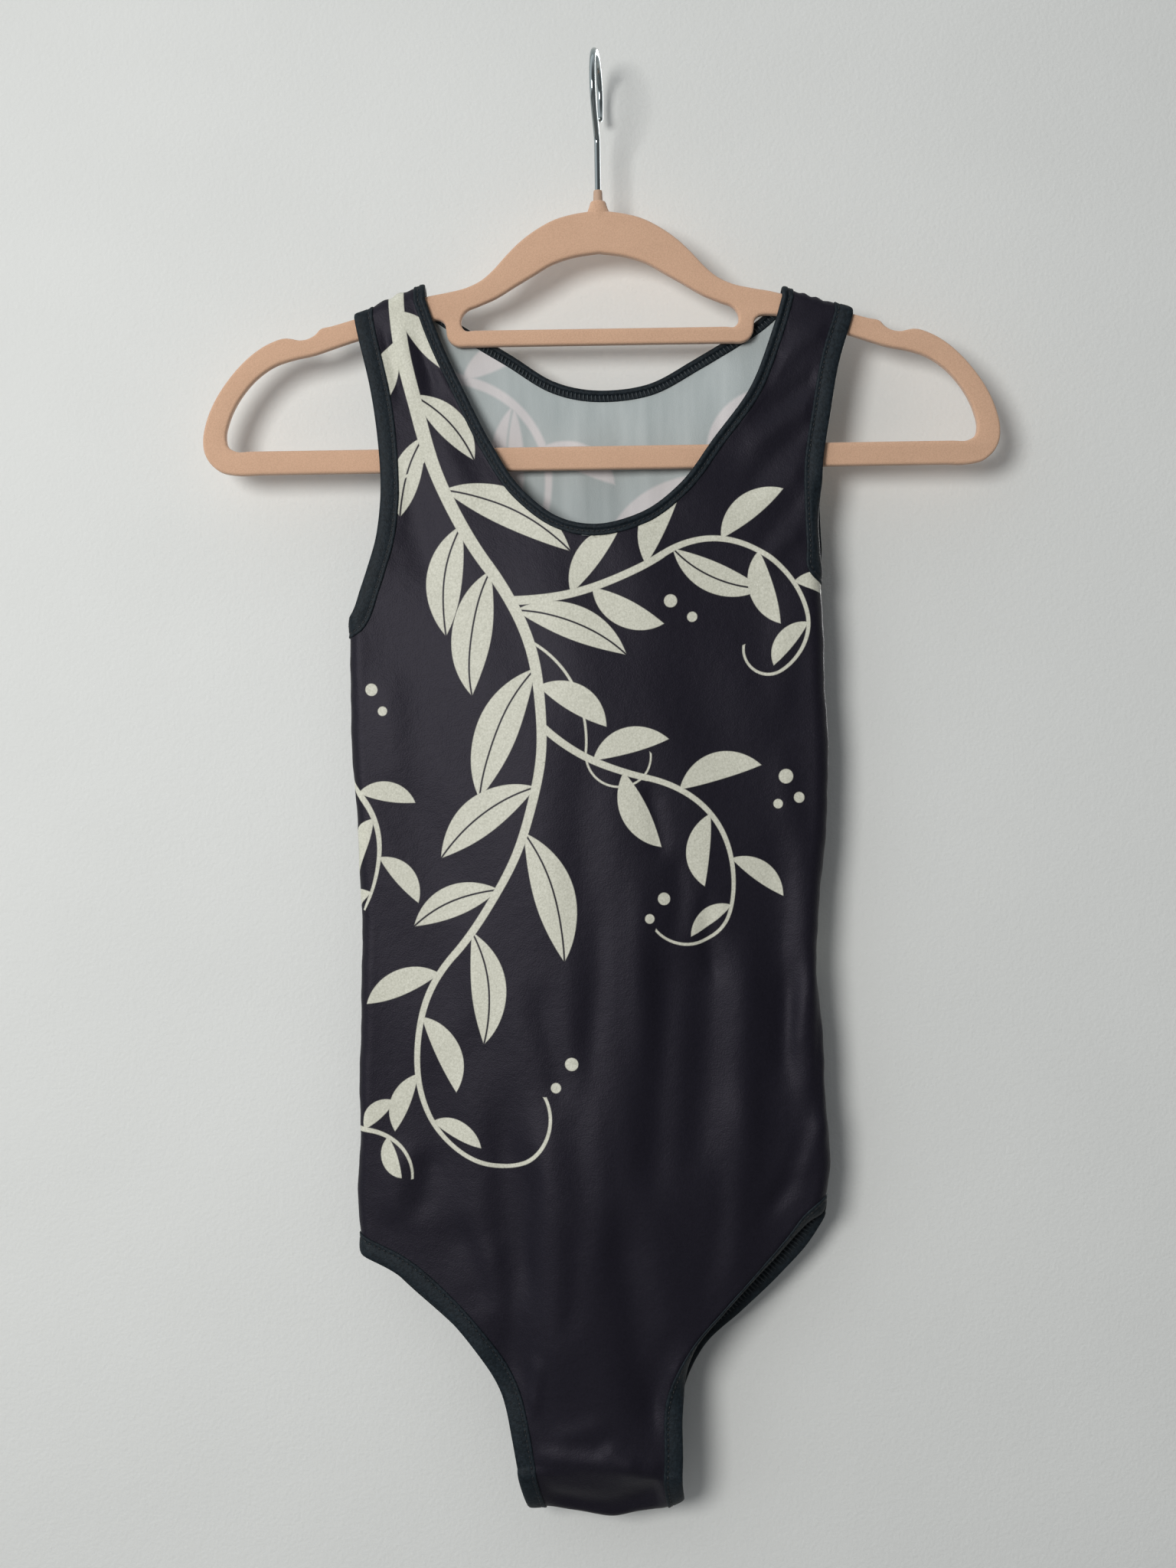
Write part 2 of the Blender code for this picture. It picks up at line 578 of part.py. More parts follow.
def panel(name, face, collection, finish):
    """One panel as a closed wall: both halves, with the strips that lie inside the bindings."""
    vertices, normals, faces = [], [], []

    def add_points(points, directions):
        start = len(vertices)
        vertices.extend(points)
        normals.extend(directions)
        return list(range(start, start + len(points)))

    def add_faces(grid, against=False):
        for upper, lower in zip(grid[:-1], grid[1:]):
            for a, b, c, d in zip(upper[:-1], upper[1:], lower[1:], lower[:-1]):
                faces.extend([(b, c, d), (b, d, a)] if against else [(a, b, c), (a, c, d)])

    shoulder = len(shoulder_angles(face)) - 1
    neck_row = shoulder + NECK_ROWS
    centre, neck_end = None, None
    for side in (LEFT, RIGHT):
        points, directions = half_panel(face, side)
        grid = [add_points(p, n) for p, n in zip(points, directions)]
        if centre is None:
            centre = [row[-1] for row in grid]
        else:
            for row in range(neck_row, len(grid)):
                normals[centre[row]] = normals[centre[row]] + normals[grid[row][-1]]
                grid[row][-1] = centre[row]
        add_faces(grid)
        for edge, width in (("armhole", BINDING_WIDTH), ("leg", BINDING_WIDTH), ("neck", NECK_BINDING_WIDTH)):
            first, stitch, turned, outward, roll = edge_frames(face, side, edge, points)
            column = -1 if edge == "neck" else 0
            strip = []
            for i in range(len(stitch)):
                at_edge = grid[first + i][column]
                normals[at_edge] = unit(np.asarray(normals[at_edge])) + turned[i]
                middle = stitch[i] + outward[i] * leaf_start(roll[i, 0])
                raw = stitch[i] + outward[i] * width
                if edge == "neck" and side == RIGHT and i == len(stitch) - 1:
                    strip.append([at_edge] + neck_end)
                    continue
                made = add_points([middle, raw], [turned[i], turned[i]])
                strip.append([at_edge] + made)
                if edge == "neck" and side == LEFT:
                    neck_end = made
            add_faces(strip, against=face * side < 0 if edge == "neck" else face == BACK)
    return wall(name, np.array(vertices), unit(np.array(normals)), faces, collection, finish)


def wall(name, points, directions, faces, collection, finish):
    """Closed wall round a surface: both faces and a rim along every open edge.

    The two faces are laid out by hand because inside a binding the wall has to stand square to
    that binding's two leaves, along directions that the surface's own normals don't give.
    """
    used = np.unique(np.array(faces).ravel())
    renumber = {old: new for new, old in enumerate(used)}
    faces = [tuple(renumber[i] for i in face) for face in faces]
    points, directions = points[used], directions[used]
    count = len(points)
    vertices = np.concatenate([points + directions * WALL / 2, points - directions * WALL / 2])
    edges = {}
    for face in faces:
        for start, end in zip(face, face[1:] + face[:1]):
            edges.setdefault(frozenset((start, end)), []).append((start, end))
    faces = faces + [tuple(i + count for i in face[::-1]) for face in faces]
    for found in edges.values():
        if len(found) == 1:
            start, end = found[0]
            faces.append((end, start, start + count, end + count))
    return new_object(name, collection, finish, vertices, faces)


def binding_loop(frames, name, width, collection, finish):
    """Folded strip round a raw edge: a U section carried along the closed line of the edge.

    Where the edge is rolled inward, the inner leaf starts further out, clear of the bend.
    """
    inner = WALL / 2 + BINDING_GAP
    outer = inner + LEAF
    vertices = []
    for stitch, normal, outward, roll in frames:
        raw = stitch + outward * width
        start = BINDING_START - width
        clear = leaf_start(roll) - width
        section = [
            (start, outer), (LEAF * NOSE_OUT, outer * NOSE_UP), (LEAF * NOSE_OUT, -outer * NOSE_UP),
            (clear, -outer), (clear, -inner), (BINDING_GAP, -inner), (BINDING_GAP, inner), (clear, inner), (start, inner),
        ]
        vertices += [raw + outward * out + normal * up for out, up in section]
    ring, rings = len(section), len(frames)
    faces = []
    for i in range(rings):
        following = (i + 1) % rings
        for j in range(ring):
            beside = (j + 1) % ring
            a, b = i * ring + j, i * ring + beside
            c, d = following * ring + beside, following * ring + j
            faces.extend([(b, c, d), (b, d, a)] if j in LEAF_BACK_FACES else [(a, b, c), (a, c, d)])
    return new_object(name, collection, finish, vertices, faces)


def frames_of(face, side, edge):
    """List of (stitch point, normal, outward, roll) along one edge of half a panel."""
    grid, _ = half_panel(face, side)
    _, points, normals, outward, roll = edge_frames(face, side, edge, grid)
    return list(zip(points, normals, outward, roll[:, 0]))


def bindings(collection, finish):
    """The five bindings: neck, two armholes and two legs."""
    for side, word in ((LEFT, "left"), (RIGHT, "right")):
        for edge in ("armhole", "leg"):
            loop = frames_of(FRONT, side, edge) + frames_of(BACK, side, edge)[::-1]
            binding_loop(loop, f"{word}_{edge}_binding", BINDING_WIDTH, collection, finish)
    left_front, right_front = frames_of(FRONT, LEFT, "neck"), frames_of(FRONT, RIGHT, "neck")
    left_back, right_back = frames_of(BACK, LEFT, "neck"), frames_of(BACK, RIGHT, "neck")
    loop = left_front + right_front[::-1][1:] + right_back + left_back[::-1][1:]
    binding_loop(loop, "neck_binding", NECK_BINDING_WIDTH, collection, finish)


def hanger_outline():
    """Right half of the hanger's outer edge, from the boss to the middle of the bottom bar: x, z."""
    arch = [(0, -86.5), (14.5, -88.5), (24.3, -91.2), (34.2, -96.3), (44.2, -103.5), (52.5, -111.6)]
    arch += [(59.1, -118.8), (65.8, -124.5), (74.1, -128.5), (83.9, -130.9)]
    arm = [(ARM_START_X, ARM_START_Z), (149.7, float(arm_top(149.7)))]
    notch = [(156.3, -150.6), (158.8, -153.3), (163, -155.7), (168, -156.4), (172, -155.6), (175.2, -155.2)]
    end = [(184.3, -157.8), (192.5, -162.6), (200.9, -169.9), (209.1, -179.5), (215.9, -190.1), (220.6, -201.5)]
    end += [(HANGER_HALF_WIDTH, -211.3), (221.8, -218.5), (218.6, -224.5), (212.8, -229.2), (205, BAR_BOTTOM_Z)]
    return arch + arm + notch + end


def arch_hole():
    """Right half of the hole between the arch and the tie bar, from its top: x, z."""
    curve = [(0, -110), (14.8, -112.2), (26.3, -116), (36.2, -121.7), (46.2, -127.5), (57.8, -134.4)]
    leg = [(67.7, -138.6), (74.3, -141.5), (76.8, -144.8), (77.2, -150), (75.2, TIE_TOP_Z)]
    return curve + leg


def frame_hole():
    """Right half of the hole between the arms and the bottom bar, from the tie bar: x, z."""
    tie = [(79, TIE_BOTTOM_Z), (82.8, -159.6), (85.2, -156.3), (85.9, -152), (86.6, -148.6)]
    arm = [(89, -146.6), (92.5, -146), (137.6, -157.4), (149.9, -161.4), (159.8, -164.6), (171.3, -167)]
    end = [(181.2, -170.2), (191, -176.6), (198.6, -184.6), (204.5, -193.6), (207.9, -201.7), (209.6, -210)]
    end += [(208.4, -215.4), (204, BAR_TOP_Z)]
    return tie + arm + end


def mirrored(half):
    """Closed outline from its right half."""
    return half + [(-x, z) for x, z in half[::-1] if x]


def mesh_of_curve(curve_object):
    """Closed mesh of a curve's evaluated shape, its caps welded, and the curve removed."""
    bpy.context.view_layer.update()
    graph = bpy.context.evaluated_depsgraph_get()
    mesh = bpy.data.meshes.new_from_object(curve_object.evaluated_get(graph))
    mesh.transform(curve_object.matrix_world)
    bpy.data.objects.remove(curve_object)
    work = bmesh.new()
    work.from_mesh(mesh)
    bmesh.ops.remove_doubles(work, verts=work.verts, dist=0.00001)
    work.to_mesh(mesh)
    work.free()
    return mesh


def apply_boolean(target, cutter, operation):
    """Joins the cutter to the target or cuts it away, and removes the cutter."""
    modifier = target.modifiers.new(operation, "BOOLEAN")
    modifier.operation = operation
    modifier.object = cutter
    bpy.context.view_layer.update()
    graph = bpy.context.evaluated_depsgraph_get()
    mesh = bpy.data.meshes.new_from_object(target.evaluated_get(graph))
    target.modifiers.clear()
    target.data = mesh
    bpy.data.objects.remove(cutter)


def turned_piece(low_z, high_z, low_radius, high_radius, segments):
    """Cone or cylinder on the stem's axis, to join to the hanger or cut from it."""
    bpy.ops.mesh.primitive_cone_add(
        vertices=segments,
        radius1=low_radius * MM,
        radius2=high_radius * MM,
        depth=(high_z - low_z) * MM,
        location=(0, 0, (low_z + high_z) / 2 * MM),
    )
    return bpy.context.object


def hanger_body(collection, finish):
    """Flat hanger with its arch, notched arms, tie bar and bottom bar, and the boss for the hook."""
    curve = bpy.data.curves.new("hanger_outline", "CURVE")
    curve.dimensions = "2D"
    curve.fill_mode = "BOTH"
    curve.extrude = (HANGER_THICKNESS / 2 - HANGER_EDGE_ROUND) * MM
    curve.bevel_depth = HANGER_EDGE_ROUND * MM
    curve.bevel_resolution = 1
    curve.offset = -HANGER_EDGE_ROUND * MM
    for outline in (hanger_outline(), arch_hole(), frame_hole()):
        points = mirrored(outline)
        spline = curve.splines.new("POLY")
        spline.points.add(len(points) - 1)
        for point, (x, z) in zip(spline.points, points):
            point.co = (x * MM, z * MM, 0, 1)
        spline.use_cyclic_u = True
    flat = bpy.data.objects.new("hanger_outline", curve)
    flat.rotation_euler = (math.pi / 2, 0, 0)
    collection.objects.link(flat)
    body = finish_object("hanger_body", collection, finish, mesh_of_curve(flat))
    boss = turned_piece(BOSS_FOOT_Z, BOSS_TOP_Z, BOSS_FOOT_RADIUS, BOSS_TOP_RADIUS, BOSS_SEGMENTS)
    apply_boolean(body, boss, "UNION")
    sleeve = turned_piece(BOSS_TOP_Z - 2, SLEEVE_TOP_Z, SLEEVE_RADIUS, SLEEVE_RADIUS, BOSS_SEGMENTS)
    apply_boolean(body, sleeve, "UNION")
    bore_radius = WIRE_RADIUS + SEAM_GAP
    bore = turned_piece(HOOK_FOOT_Z - SEAM_GAP, SLEEVE_TOP_Z + 1, bore_radius, bore_radius, BORE_SEGMENTS)
    apply_boolean(body, bore, "DIFFERENCE")
    body.data.materials.clear()
    body.data.materials.append(finish)
    body.data.set_sharp_from_angle(angle=math.radians(SHARP_ANGLE))
    return body


def hook_path():
    """Centre line of the wire in the hook's own plane: stem, bend and open ring."""
    radius = HOOK_INNER_RADIUS + WIRE_RADIUS
    centre_z = -HOOK_INNER_RADIUS
    start = math.radians(HOOK_START_ANGLE)
    ring_start = (radius * math.cos(start), centre_z + radius * math.sin(start))
    direction = (-math.sin(start), math.cos(start))
    meet_z = ring_start[1] - ring_start[0] * direction[1] / direction[0]
    turn = math.pi / 2 - math.atan2(direction[1], direction[0])
    setback = HOOK_BEND_RADIUS * math.tan(turn / 2)
    points = [(0, HOOK_FOOT_Z)]
    for share in np.linspace(0, 1, 6):
        angle = turn * share
        out = HOOK_BEND_RADIUS * (1 - math.cos(angle))
        up = HOOK_BEND_RADIUS * math.sin(angle)
        points.append((out, meet_z - setback + up))
    for angle in np.radians(np.linspace(HOOK_START_ANGLE, HOOK_END_ANGLE, 30)):
        points.append((radius * math.cos(angle), centre_z + radius * math.sin(angle)))
    return points


def hook(collection, finish):
    """Wire hook, swivelled so that it is seen almost edge on from the front."""
    yaw = math.radians(HOOK_YAW)
    curve = bpy.data.curves.new("hook_line", "CURVE")
    curve.dimensions = "3D"
    curve.bevel_depth = WIRE_RADIUS * MM
    curve.bevel_resolution = 2
    curve.use_fill_caps = True
    path = hook_path()
    spline = curve.splines.new("POLY")
    spline.points.add(len(path) - 1)
    for point, (out, z) in zip(spline.points, path):
        point.co = (-out * math.sin(yaw) * MM, -out * math.cos(yaw) * MM, z * MM, 1)
    line = bpy.data.objects.new("hook_line", curve)
    collection.objects.link(line)
    return finish_object("hook", collection, finish, mesh_of_curve(line))


def make_finish(name):
    """Principled material with one finish's colour, roughness and metallic value."""
    colour, roughness, metallic = FINISHES[name]
    material = bpy.data.materials.new(name)
    material.use_nodes = True
    shader = material.node_tree.nodes["Principled BSDF"]
    shader.inputs["Base Color"].default_value = (*colour, 1)
    shader.inputs["Roughness"].default_value = roughness
    shader.inputs["Metallic"].default_value = metallic
    return material


def main():
    for old in list(bpy.data.objects):
        bpy.data.objects.remove(old)
    collection = bpy.data.collections.new("leotard_on_hanger")
    bpy.context.scene.collection.children.link(collection)
    finishes = {name: make_finish(name) for name in FINISHES}
    hanger_body(collection, finishes["flock"])
    hook(collection, finishes["chrome"])
    panel("front_panel", FRONT, collection, finishes["panel_cloth"])
    panel("back_panel", BACK, collection, finishes["panel_cloth"])
    bindings(collection, finishes["binding_cloth"])


main()
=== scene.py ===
"""Looks of a sleeveless stretch leotard that hangs on a flocked clothes hanger with a wire hook.

Sizes are in millimetres and MM turns them into metres when a mesh is made. +X runs to the right
of the front view, +Y from the front of the leotard to its back and +Z is up. The origin is the
inside top of the hook. The cloth lies on one skin with three zones: the body tube, the folds of
the straps over the hanger's arms, and the turn under the crotch. Every piece of cloth is worked
out on that skin as whole arrays.
"""

import math

import bmesh
import bpy
import numpy as np
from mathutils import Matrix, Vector


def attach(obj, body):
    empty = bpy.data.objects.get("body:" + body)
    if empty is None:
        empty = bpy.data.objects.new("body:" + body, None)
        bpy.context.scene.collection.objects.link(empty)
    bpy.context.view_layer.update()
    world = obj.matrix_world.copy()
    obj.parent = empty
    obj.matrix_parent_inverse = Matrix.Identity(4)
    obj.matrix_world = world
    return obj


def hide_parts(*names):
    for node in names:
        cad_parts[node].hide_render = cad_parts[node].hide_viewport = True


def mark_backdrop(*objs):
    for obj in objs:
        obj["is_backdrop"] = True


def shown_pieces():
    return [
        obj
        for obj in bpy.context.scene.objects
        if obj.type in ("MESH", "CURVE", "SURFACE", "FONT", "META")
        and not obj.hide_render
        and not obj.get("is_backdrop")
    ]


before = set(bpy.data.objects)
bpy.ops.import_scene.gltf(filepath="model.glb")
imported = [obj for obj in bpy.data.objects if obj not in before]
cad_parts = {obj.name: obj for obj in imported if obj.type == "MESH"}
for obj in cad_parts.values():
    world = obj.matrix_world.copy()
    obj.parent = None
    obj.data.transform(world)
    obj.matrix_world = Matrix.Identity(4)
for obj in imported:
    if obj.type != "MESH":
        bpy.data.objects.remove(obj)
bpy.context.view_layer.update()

MM = 0.001
LEFT, RIGHT = -1, 1
FRONT, BACK = -1, 1

# Hanger and hook sizes
HANGER_HALF_WIDTH = 222.5
HANGER_THICKNESS = 5.6
HANGER_EDGE_ROUND = 1.5
ARM_SLOPE = 0.292
ARM_START_X = 95.4
ARM_START_Z = -133.0
BAR_TOP_Z = -218.0
BAR_BOTTOM_Z = -231.0
TIE_TOP_Z = -152.5
TIE_BOTTOM_Z = -161.3
WIRE_RADIUS = 1.65
HOOK_INNER_RADIUS = 19.0
HOOK_FOOT_Z = -88.0
HOOK_START_ANGLE = -50.0
HOOK_END_ANGLE = 205.0
HOOK_BEND_RADIUS = 7.0
HOOK_YAW = 6.5
HOOK_STEM_RINGS = 8
HOOK_BEND_RINGS = 14
HOOK_ROUND_RINGS = 90
WIRE_SIDES = 24
# Rounded end of the wire: share of its radius ahead, share of its radius across
WIRE_END = [(0.5, 0.87), (0.85, 0.53), (1.0, 0.06)]
# Boss under the hook, from below: half width along X, half depth along Y, height
BOSS_PROFILE = [
    (11.0, 2.0, -97.0), (9.4, 2.45, -94.0), (7.9, 2.8, -91.0), (6.8, 3.0, -88.5), (5.8, 3.15, -86.2),
    (5.1, 3.2, -84.4), (4.65, 3.2, -82.9), (4.4, 3.15, -82.0), (4.0, 3.0, -81.4), (3.4, 2.8, -81.1),
    (2.0, 2.0, -81.0),
]
# Sleeve that the hook turns in, from below
SLEEVE_PROFILE = [
    (2.65, 2.65, -82.0), (2.6, 2.6, -79.0), (2.5, 2.5, -76.4), (2.42, 2.42, -75.4), (2.2, 2.2, -75.05),
    (1.7, 1.7, -75.0),
]

# Cloth sizes
SEAM_GAP = 0.06
SHELL = 0.7
RIDGE_RADIUS = HANGER_THICKNESS / 2 + 2.15
RIDGE_DROP = 1.6
FULLNESS_DROP = 175.0
SEAM_BEHIND_RIDGE = 25.0
CROTCH_SEAM_Y = 5.0
CROTCH_DIAGONAL = 0.6
CROTCH_CLOTH = 26.0
CORNER_RADIUS = 11.5
SIDE_RADIUS = {LEFT: 6.0, RIGHT: 8.0}
# Distance from a bound edge or the side over which creases and folds grow to their full depth
CREASE_FADE = 9.0
FOLD_FADE = 12.0
SLACK_HEIGHT = 0.35
PUCKER_HEIGHT = 0.22
# Slow waves of hanging cloth: axis moved, height, length of a radian along X, Y and Z, phase
SWAY_WAVES = [
    (0, 0.28, 31, math.inf, 9.5, 0), (0, 0.22, math.inf, math.inf, 17, 1.3),
    (1, 0.3, 11, math.inf, 13, 0), (1, 0.2, 7, math.inf, 29, 0),
    (2, 0.22, 8.5, math.inf, math.inf, 0.6), (2, 0.18, 15, -9, math.inf, 0),
]
# Width past the stitch line, and how far the strip reaches over the cloth inside that line
BINDING_WIDTH = {"armhole": 7.9, "leg": 7.9, "neck": 6.4}
BINDING_LIP = {"armhole": 2.5, "leg": 2.5, "neck": 0.2}
STITCH_LENGTH = 2.0
STITCH_PITCH = 2.9
STITCH_RADIUS = 0.4
RUNG_PITCH = 2.3
RUNG_RADIUS = 0.55
# Lines of a binding's section: the groove of its stitches, the ends of the inner rungs, the throat
GROOVE_COLUMN = 5
RUNG_COLUMNS = (23, 16)
INNER_COLUMNS = (15, 24)
THROAT_COLUMN = 27
# A short thread: share of its length, share of its radius
THREAD_PROFILE = [(0.0, 0.1), (0.1, 0.7), (0.3, 1.0), (0.7, 1.0), (0.9, 0.7), (1.0, 0.1)]
THREAD_SIDES = 6
# Step into the cloth that gives an edge's outward direction, and the cloth hidden in a binding
FRAME_STEP = 0.6
HIDDEN_STRIP = 0.9
LEAST_RING_STEP = 0.12

# Outline of the tube's two sides: height z, side x
SIDE_LINE = {
    LEFT: [
        (-830, -135), (-700, -140), (-656, -141.5), (-640, -142.5), (-600, -140.5),
        (-560, -140), (-528, -139.2), (-500, -137.8), (-455, -138.4), (-400, -141),
        (-370, -142), (-321, -141.8), (-230, -143), (-120, -150),
    ],
    RIGHT: [
        (-830, 112), (-700, 116), (-640, 118), (-626, 120.2), (-600, 120.3),
        (-578, 118.8), (-540, 117.3), (-509, 114.7), (-475, 117.5), (-443, 120.6),
        (-400, 123.3), (-342, 122), (-295, 121), (-250, 127), (-200, 138), (-120, 152),
    ],
}
# Centre line of both panels: height z, x
CENTRE_LINE = [(-830, -4), (-780, -5), (-700, -8), (-600, -10), (-450, -9), (-330, -6), (-265, -2)]
# How far each panel stands out from the hanger's plane at its middle: height z, depth
FULLNESS = {
    FRONT: [(-800, 14), (-760, 16), (-700, 19), (-640, 21), (-560, 19), (-450, 18), (-330, 16), (-270, 14)],
    BACK: [(-800, 9), (-760, 10), (-700, 13), (-640, 16), (-560, 15), (-450, 14), (-330, 13), (-180, 11)],
}
# Stitch lines in the front view, from the strap down: x, z
ARMHOLE_LINE = {
    LEFT: [(-121.3, -181), (-116, -222), (-116.2, -250), (-119, -272), (-124, -287), (-128.3, -298)],
    RIGHT: [(124.6, -175), (119.4, -199), (115.4, -226), (114.4, -245), (114.6, -262), (115.4, -277)],
}
LEG_LINE = {
    LEFT: [
        (-132, -661.8), (-120.8, -667.4), (-98.1, -685.5), (-75.6, -708.8), (-58.8, -735.5), (-50.6, -765),
    ],
    RIGHT: [(106, -648.5), (95.3, -658.8), (77.8, -677.5), (58, -698.9), (38.2, -720.4), (29, -745)],
}
NECK_LINE = {
    FRONT: [
        (-98.8, -150), (-86.3, -180), (-67, -220.4), (-47.6, -248.7), (-27.9, -264), (-2, -269.8),
        (26, -261.8), (46.2, -246.2), (66.5, -220.5), (88.9, -189), (103.0, -155),
    ],
    BACK: [
        (-91, -146.5), (-74, -157.5), (-54, -170), (-28, -185.5), (-2, -191.3),
        (27, -188.5), (54, -175.5), (76, -163), (96, -149.5),
    ],
}
STRAP_ARMHOLE_X = {LEFT: -128.5, RIGHT: 133.0}
STRAP_NECK_X = {LEFT: -103.5, RIGHT: 107.5}
MIDDLE_LEVELS = (-340.0, -640.0)
ROW_BEND = 1.6
ARMHOLE_SEAM_Z = {LEFT: -321.0, RIGHT: -295.0}
ARMHOLE_CORNER_TURN = {LEFT: 60.0, RIGHT: 62.0}
LEG_SEAM_Z = {LEFT: -657.0, RIGHT: -640.0}
LEG_CORNER_TURN = {LEFT: 30.0, RIGHT: 38.0}
LEG_END_X = {LEFT: -47.5, RIGHT: 27.8}
# How far a leg's stitch line lies outside the one above: height z, distance
LEG_SHIFT = {
    (FRONT, LEFT): [(-800, 0), (-600, 0)],
    (FRONT, RIGHT): [(-765, 0), (-742, 1.5), (-720, 4), (-680, 4.5), (-660, 4), (-648, 1.5), (-641, 0)],
    (BACK, LEFT): [(-765, 0), (-735, 2), (-712, 5.5), (-690, 7), (-672, 6), (-660, 2)],
    (BACK, RIGHT): [
        (-765, 0), (-745, 2), (-720, 5), (-699, 8.5), (-677, 11), (-662, 11), (-650, 7), (-641, 0),
    ],
}
# Height of each strap's fold over the hanger's arm: x, height
STRAP_RISE = {
    LEFT: [
        (-137, 2.8), (-128.5, 2.9), (-124, 4.4), (-120, 5.6), (-116.5, 5.3), (-112.5, 7.0), (-108, 6.0),
        (-103.5, 6.6), (-97, 5.0),
    ],
    RIGHT: [
        (100, 2.9), (107.5, 3.1), (111, 2.7), (114, 3.6), (117.5, 2.6), (121, 3.5), (124.5, 2.6), (128, 3.2),
        (133, 2.9), (140, 2.8),
    ],
}
# Line where the cloth starts to turn under, and the lowest line of the crotch: x, z
CROTCH_START_LINE = [(-60, -783), (-5, -783), (40, -790)]
CROTCH_BOTTOM_LINE = [
    (-60, -811), (-38, -811.5), (-29, -813), (-17, -815.4), (-6, -817), (9.5, -814.7),
    (18, -813.5), (25, -812.6), (30, -810), (45, -807.5),
]
CROTCH_DRIFT = {LEFT: 5.0, RIGHT: 2.5}
# Where a binding is rolled to the inside of the right edge: height z, angle in degrees
ARMHOLE_ROLL = [(-296, 0), (-288, 30), (-278, 55), (-266, 62), (-254, 48), (-245, 25), (-236, 0), (-215, 0)]
ROLL_LENGTH = 3.0
# The right leg's front edge turns under at a fold inside its stitch line: height z, angle in degrees
LEG_TURN = [
    (-782, 0), (-766, 4), (-751, 18), (-738, 46), (-722, 68), (-672, 70), (-656, 64), (-647, 46), (-640, 0),
]
LEG_TURN_INSET = 4.2
LEG_TURN_LENGTH = 4.5
# How near the edge the turned cloth lies, and how widely an edge's frames are averaged
LEG_TURN_REACH = 22.0
LEG_TURN_BLEND = 1.5

# Folds and creases. Columns: top x, top z, bottom x, bottom z, depth, half width
FOLDS = {
    FRONT: [
        (-59, -560, -56, -770, -4.2, 12),
        (-36, -570, -33, -760, 2.4, 14),
        (2, -630, 22, -780, -3.2, 12),
        (57, -470, 44, -640, -3.0, 12),
        (33, -480, 20, -650, -3.0, 11),
        (-12, -350, -16, -620, -1.8, 13),
        (95, -420, 96, -600, -2.2, 13),
        (-96, -540, -88, -690, -2.0, 13),
        (74, -560, 62, -700, 2.2, 12),
    ],
    BACK: [
        (-70, -380, -62, -660, -2.8, 15),
        (-24, -470, -20, -740, -3.0, 14),
        (22, -330, 26, -640, -2.4, 15),
        (72, -430, 52, -690, -3.0, 14),
    ],
}
CREASES = {
    FRONT: [
        (134, -146, 84, -190, 1.0, 6), (132, -170, 80, -212, -1.1, 6), (127, -188, 74, -230, 1.0, 6),
        (122, -206, 72, -250, -0.9, 6), (119, -226, 74, -264, 0.8, 6), (116, -246, 80, -282, -0.7, 6),
        (115, -262, 84, -292, 1.0, 6), (-110, -142, -104, -196, 1.5, 6), (-121, -146, -113, -196, -1.6, 5),
        (-101, -150, -92, -200, -1.2, 5), (-92, -196, -70, -252, 1.0, 7), (-112, -230, -92, -300, -0.9, 8),
        (23, -402, 29, -452, -1.5, 5), (37, -440, 37, -500, -1.2, 6), (53, -462, 58, -524, -1.5, 5),
        (14, -440, 22, -590, 1.4, 8), (-40, -510, -27, -590, -1.4, 8), (-6, -460, -9, -570, -0.9, 6),
        (-24, -480, -18, -600, 1.2, 8), (78, -480, 72, -640, 1.5, 9), (62, -600, 52, -700, -1.2, 8),
        (-8, -560, -10, -690, 1.3, 8), (-49, -600, -47, -700, -2.2, 6), (-44, -716, -47, -760, 1.6, 4),
        (-110, -600, -128, -652, 1.6, 9), (-96, -604, -112, -650, -1.4, 8), (-84, -640, -74, -704, -1.8, 9),
        (-66, -650, -62, -716, 1.2, 7), (114, -494, 101, -572, 1.8, 6), (104, -500, 92, -580, -1.6, 7),
        (122, -520, 112, -600, -1.6, 5), (120, -586, 100, -634, 1.8, 6), (112, -600, 82, -652, -1.8, 6),
        (-124, -330, -110, -420, 1.2, 10), (-70, -470, -86, -560, 1.0, 10), (104, -300, 92, -380, 1.0, 9),
        (98, -380, 104, -470, 1.2, 8), (34, -700, 16, -770, -1.4, 7), (-20, -640, -28, -720, -1.1, 7),
        (-56, -777, 40, -785, 2.6, 6), (-40, -766, -2, -760, 1.0, 6), (-60, -796, 44, -800, -3.8, 7),
        (-12, -772, 14, -783, 1.6, 5),
    ],
    BACK: [
        (-126, -150, -104, -210, 1.3, 7), (124, -152, 98, -214, -1.3, 7), (-40, -196, -58, -300, 1.4, 9),
        (-14, -194, -18, -290, -1.2, 8), (10, -194, 16, -290, 1.2, 8),
        (34, -194, 52, -310, 1.4, 9), (-104, -330, -88, -430, -1.1, 10), (98, -320, 84, -430, 1.1, 10),
        (-48, -420, -52, -540, 1.2, 9), (2, -360, -4, -480, -1.2, 9), (46, -480, 40, -600, 1.3, 9),
        (-100, -520, -82, -660, 1.3, 9), (92, -540, 74, -660, -1.5, 9), (0, -560, 4, -700, 1.3, 9),
        (-44, -640, -38, -740, -1.4, 8), (30, -660, 20, -760, -1.2, 8), (-116, -600, -96, -668, -1.2, 7),
    ],
}

# Rows and columns of the cloth grids
SHOULDER_ROWS = 18
NECK_ROWS = 78
ARMHOLE_END_ROWS = 32
SIDE_ROWS = 118
LEG_ROWS = 78
CROTCH_ROWS = 14
COLUMNS = 60
COLUMN_BIAS = 1.15
# Share of an armhole's line that lies beside the neck's rows
ARMHOLE_BESIDE_NECK = 0.62
OUTLINE_STEPS = 4


